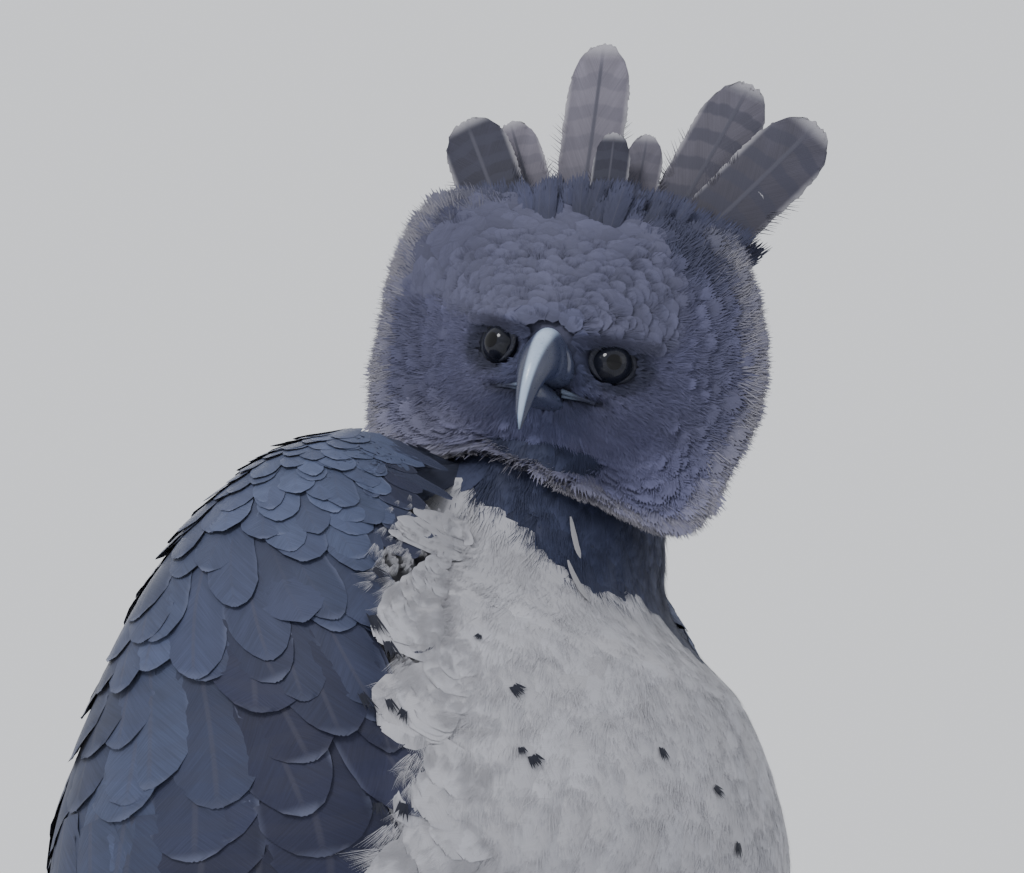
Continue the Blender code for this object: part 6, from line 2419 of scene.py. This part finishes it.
@dataclass
class Feet:
    """Shanks, toes with scutes, and hooked claws."""

    # Name, sideways spread, length along the branch's round, thickness, claw length
    toes: tuple = (
        ("inner", -0.4, 0.066, 0.0105, 0.05),
        ("middle", 0.02, 0.074, 0.0105, 0.046),
        ("outer", 0.46, 0.064, 0.0095, 0.042),
        ("rear", 3.14, 0.054, 0.0115, 0.066)
    )
    shank_half: float = 0.014
    ball_half: float = 0.0172
    claw_bend: float = 1.55
    claw_rise: float = 0.0045
    tone: Colour = (0.62, 0.5, 0.2)
    claw_tone: Colour = (0.03, 0.03, 0.036)
    voxel: float = 0.0011

    @staticmethod
    def toe_path(foot: Array, spread: float, side: Side, length: float, height: float, steps: int) -> tuple:
        """Points over the branch's round, and the direction away from it at each.

        Args:
            foot: Where the toes meet.
            spread: The toe's angle from the branch's round.
            side: Left or right foot.
            length: The toe's length.
            height: Height above the bark.
            steps: How many points.

        Returns:
            The points and the directions.
        """
        reach = np.linspace(0, length, steps)
        ahead, out = math.cos(spread), math.sin(spread)
        angle = reach * ahead / (PERCH_RADIUS + height)
        up = np.stack([0 * angle, -np.sin(angle), np.cos(angle)], -1)
        path = np.array([0.0, 0.0, PERCH_TOP - PERCH_RADIUS]) + up * (PERCH_RADIUS + height)
        path[:, 0] += foot[0] + side.value * out * reach
        return path, up

    def build(self) -> None:
        """Both feet, each one skin, and eight claws."""
        across = np.array([1.0, 0, 0])
        for side in Side:
            _, ankle, foot = leg_points(side)
            at = np.linspace(0, 1, 60)
            down = unit(foot - ankle)
            path = ankle - 0.012 * down + at[:, None] * (foot - ankle + 0.012 * down)
            swell = self.shank_half - 0.0016 * np.sin(math.pi * at) + 0.0005 * np.abs(np.sin(at * 34.0))
            parts = [closed_tube(tube(path, swell, 40, across))]
            angle = np.linspace(0.05, math.pi - 0.05, 24)[:, None]
            turn = full_turn(32)[None]
            level = np.sin(angle)
            ball = np.stack(arrays(level * np.cos(turn), level * np.sin(turn), np.cos(angle)), -1)
            parts.append(closed_tube(foot + np.array([0, 0, 0.002]) + self.ball_half * ball))
            for toe, spread, length, thick, claw in self.toes:
                path, up = self.toe_path(foot, spread, side, length, thick, 70)
                share = np.linspace(0, 1, 70)
                pads = 1 + 0.1 * np.cos(share * 4 * math.pi) + 0.045 * np.abs(np.sin(share * 30.0))
                parts.append(closed_tube(tube(path, thick * pads * (1 - 0.1 * share), 32, across)))
                self.claw(f"claw_{side.word}_{toe}", path[-1], unit(path[-1] - path[-3]), up[-1], claw, thick)
            leg = fused(f"leg_{side.word}", parts, self.voxel, 3)
            put_colour(leg.data, "Tone", self.tone)
            dress(leg, Leather("leg_skin"), (f"shank_{side.word}", f"foot_{side.word}"))
        LOG.info("feet built")



    def claw(self, node: str, root: Array, ahead: Array, out: Array, long: float, thick: float) -> None:
        """A hooked claw: a tapering tube along an arc that turns down round the branch.

        Args:
            node: The node it stands for.
            root: Where it leaves the toe.
            ahead: The toe's direction there.
            out: Direction away from the branch.
            long: The arc's length.
            thick: Half the toe's thickness.
        """
        at = np.linspace(0, 1, 48)
        turn = self.claw_bend * at
        radius = long / self.claw_bend
        path = root + radius * (np.sin(turn)[:, None] * ahead - (1 - np.cos(turn))[:, None] * out)
        path = path + self.claw_rise * out
        rings = tube(path, thick * 0.66 * (1 - at) ** 0.75 + 0.0005, 28, np.cross(ahead, out), 1.15)
        horn = Horn("claw_horn", roughness=0.28)
        turned_piece(f"{node}_horn", rings, horn, node, self.claw_tone)


@dataclass
class Perch:
    """A cut length of branch with rough bark and sawn ends."""

    along: int = 320
    around: int = 160
    waves: int = 46
    relief: float = 0.0012

    def build(self) -> None:
        """Bark as a displaced round, ends as flat discs just inside it."""
        x = np.linspace(-PERCH_LENGTH / 2, PERCH_LENGTH / 2, self.along)[:, None]
        turn = full_turn(self.around)
        radius = PERCH_RADIUS + 0.003 * np.clip((np.abs(x) - 0.12) / 0.08, 0, 1) * np.sin(60 * x)
        chance = np.random.default_rng(70)
        rough = np.zeros((self.along, self.around))
        for _ in range(self.waves):
            wave, swing, phase = chance.uniform(15, 150), chance.integers(3, 30), chance.uniform(0, 6.28)
            rough += np.sin(wave * x + swing * turn[None] + phase) * 0.9
        rings = radius - self.relief * np.abs(rough / 9.0) - 0.0002
        centre = PERCH_TOP - PERCH_RADIUS
        points = np.stack(arrays(x, rings * np.sin(turn), centre + rings * np.cos(turn)), -1)
        turned_piece("perch_bark", points, Bark("rough_bark"), "perch")
        for side in Side:
            share = np.linspace(0.001, 0.97, 16)[:, None] * rings[-1]
            face = side.value * (PERCH_LENGTH / 2 + 0.0006)
            disc = np.stack(arrays(face, share * np.sin(turn), centre + share * np.cos(turn)), -1)
            rows, faces = closed_tube(np.concatenate([disc, (disc - [side.value * 0.001, 0, 0])[::-1]]))
            end = mesh_object(f"perch_end_{side.word}", rows, outward(rows, faces), smooth=False)
            distance = np.hypot(rows[:, 1], rows[:, 2] - centre) * 25
            put_colour(end.data, "Gaze", np.stack([distance, 0 * distance, 0 * distance], -1))
            dress(end, SawnWood("sawn_wood"), ("perch",))
        LOG.info("perch built")


@dataclass
class Stand:
    """The display stand: a rounded wooden base and two steel rods with collars."""

    size: tuple = (0.46, 0.38)
    thick: float = 0.018
    corner: float = 0.06
    rod: float = 0.009
    collar: float = 0.0155
    rod_side: float = 0.165

    def build(self) -> None:
        """Base with an eased edge, and the rods."""
        turn = full_turn(160)
        ring = np.stack([np.cos(turn), np.sin(turn)], -1)
        outline = ring * self.corner + np.sign(np.round(ring, 6)) * (np.array(self.size) / 2 - self.corner)
        edge = np.array(self.edge())[:, :, None, None]
        rings = np.stack(arrays(*np.moveaxis(outline - ring * edge[:, 1], -1, 0), edge[:, 0, 0]), -1)
        wood = StainedWood("stained_wood")
        pieces = [turned_piece("stand_base_board", rings, wood, "stand_base")]
        top = PERCH_TOP - 2 * PERCH_RADIUS + 0.004
        # Height and radius of each ring of a rod, with its collar
        steps = np.array([
            (self.thick - 0.0002, self.collar), (self.thick + 0.005, self.collar),
            (self.thick + 0.0062, self.collar - 0.0012),
            (self.thick + 0.0065, self.rod), (top - 0.0065, self.rod), (top, self.rod)
        ])
        z, r = steps[:, :1], steps[:, 1:]
        around = full_turn(64)
        for side in Side:
            node = f"stand_rod_{side.word}"
            rod = np.stack(arrays(side.value * self.rod_side + r * np.cos(around), r * np.sin(around), z), -1)
            steel = PaintedSteel("painted_steel")
            pieces.append(turned_piece(f"{node}_steel", rod, steel, node))
        for piece in pieces:
            piece.data.set_sharp_from_angle(angle=math.radians(35))
        LOG.info("stand built")

    def edge(self) -> list[tuple[float, float]]:
        """Heights and insets of the base's edge, with quarter rounds of 1 mm below and 4 mm above."""
        low = [(0.001 * (1 - math.cos(a)), 0.001 * (1 - math.sin(a))) for a in np.linspace(0, math.pi / 2, 6)]
        top = self.thick - 0.004
        high = [
            (top + 0.004 * math.sin(a), 0.004 * (1 - math.cos(a))) for a in np.linspace(0, math.pi / 2, 10)
        ]
        return low + high


@dataclass
class Studio:
    """Pale floor, soft lights and the camera at the photograph's angle."""

    target: tuple = (-0.021, -0.09, 0.761)
    distance: float = 2.1
    look_up: float = math.radians(20)
    swing: float = math.radians(45)
    width: float = 0.512

    def build(self) -> None:
        """Makes the floor, the lights, the sky and the camera."""
        points = np.array([[-6, -6, 0], [6, -6, 0], [6, 6, 0], [-6, 6, 0]], float)
        floor = mesh_object("floor", points, np.array([[0, 1, 2, 3]]), smooth=False)
        floor.data.materials.append(PaleFloor("pale_floor").material())
        world = bpy.data.worlds.new("studio")
        world.use_nodes = True
        world.node_tree.nodes["Background"].inputs["Color"].default_value = (0.94, 0.96, 1.0, 1.0)
        world.node_tree.nodes["Background"].inputs["Strength"].default_value = 1.0
        bpy.context.scene.world = world
        self.light("key", (-3.2, -0.9, 2.6), 1.2, 95)
        self.light("fill", (1.2, -3.2, 1.2), 2.2, 8)
        self.light("back", (1.6, 2.6, 2.6), 1.6, 42)
        self.camera()

    def light(self, name: str, place: tuple, size: float, power: float) -> None:
        """A round soft light aimed at the bird.

        Args:
            name: The lamp's name.
            place: Where it hangs.
            size: Its width.
            power: Its power in watts.
        """
        lamp = bpy.data.lights.new(name, "AREA")
        lamp.shape = "DISK"
        lamp.size = size
        lamp.energy = power
        made = bpy.data.objects.new(name, lamp)
        made.location = place
        made.rotation_euler = (Vector(self.target) - Vector(place)).to_track_quat("-Z", "Y").to_euler()
        bpy.context.scene.collection.objects.link(made)

    def camera(self) -> None:
        """A long lens below the bird that looks up, with the photograph's width at its distance."""
        level = Vector((math.sin(self.swing), math.cos(self.swing), 0))
        forward = level * math.cos(self.look_up) + Vector((0, 0, math.sin(self.look_up)))
        right = Vector((level.y, -level.x, 0))
        up = right.cross(forward)
        lens = bpy.data.cameras.new("view")
        lens.sensor_width = 36.0
        lens.lens = 36.0 * self.distance / self.width
        lens.clip_start = 0.05
        made = bpy.data.objects.new("view", lens)
        place = Vector(self.target) - forward * self.distance
        made.matrix_world = Matrix.Translation(place) @ Matrix((right, up, -forward)).transposed().to_4x4()
        bpy.context.scene.collection.objects.link(made)
        bpy.context.scene.camera = made


def main() -> None:
    """Builds every sub-assembly and the studio."""
    logging.basicConfig(level=logging.INFO, format="%(name)s: %(message)s")
    assemblies = [Torso(), HeadCoat(), Crest(), TailCoat()]
    assemblies += [WingCoat(side) for side in Side]
    assemblies += [Trousers(side) for side in Side]
    coats = [coat for assembly in assemblies for coat in assembly.build()]
    for coat in coats:
        coat.build()
    Skin(coats).build()
    for assembly in (Bill(), Eyes(), Feet(), Perch(), Stand()):
        assembly.build()
    Studio().build()


if __name__ == "__main__":
    main()
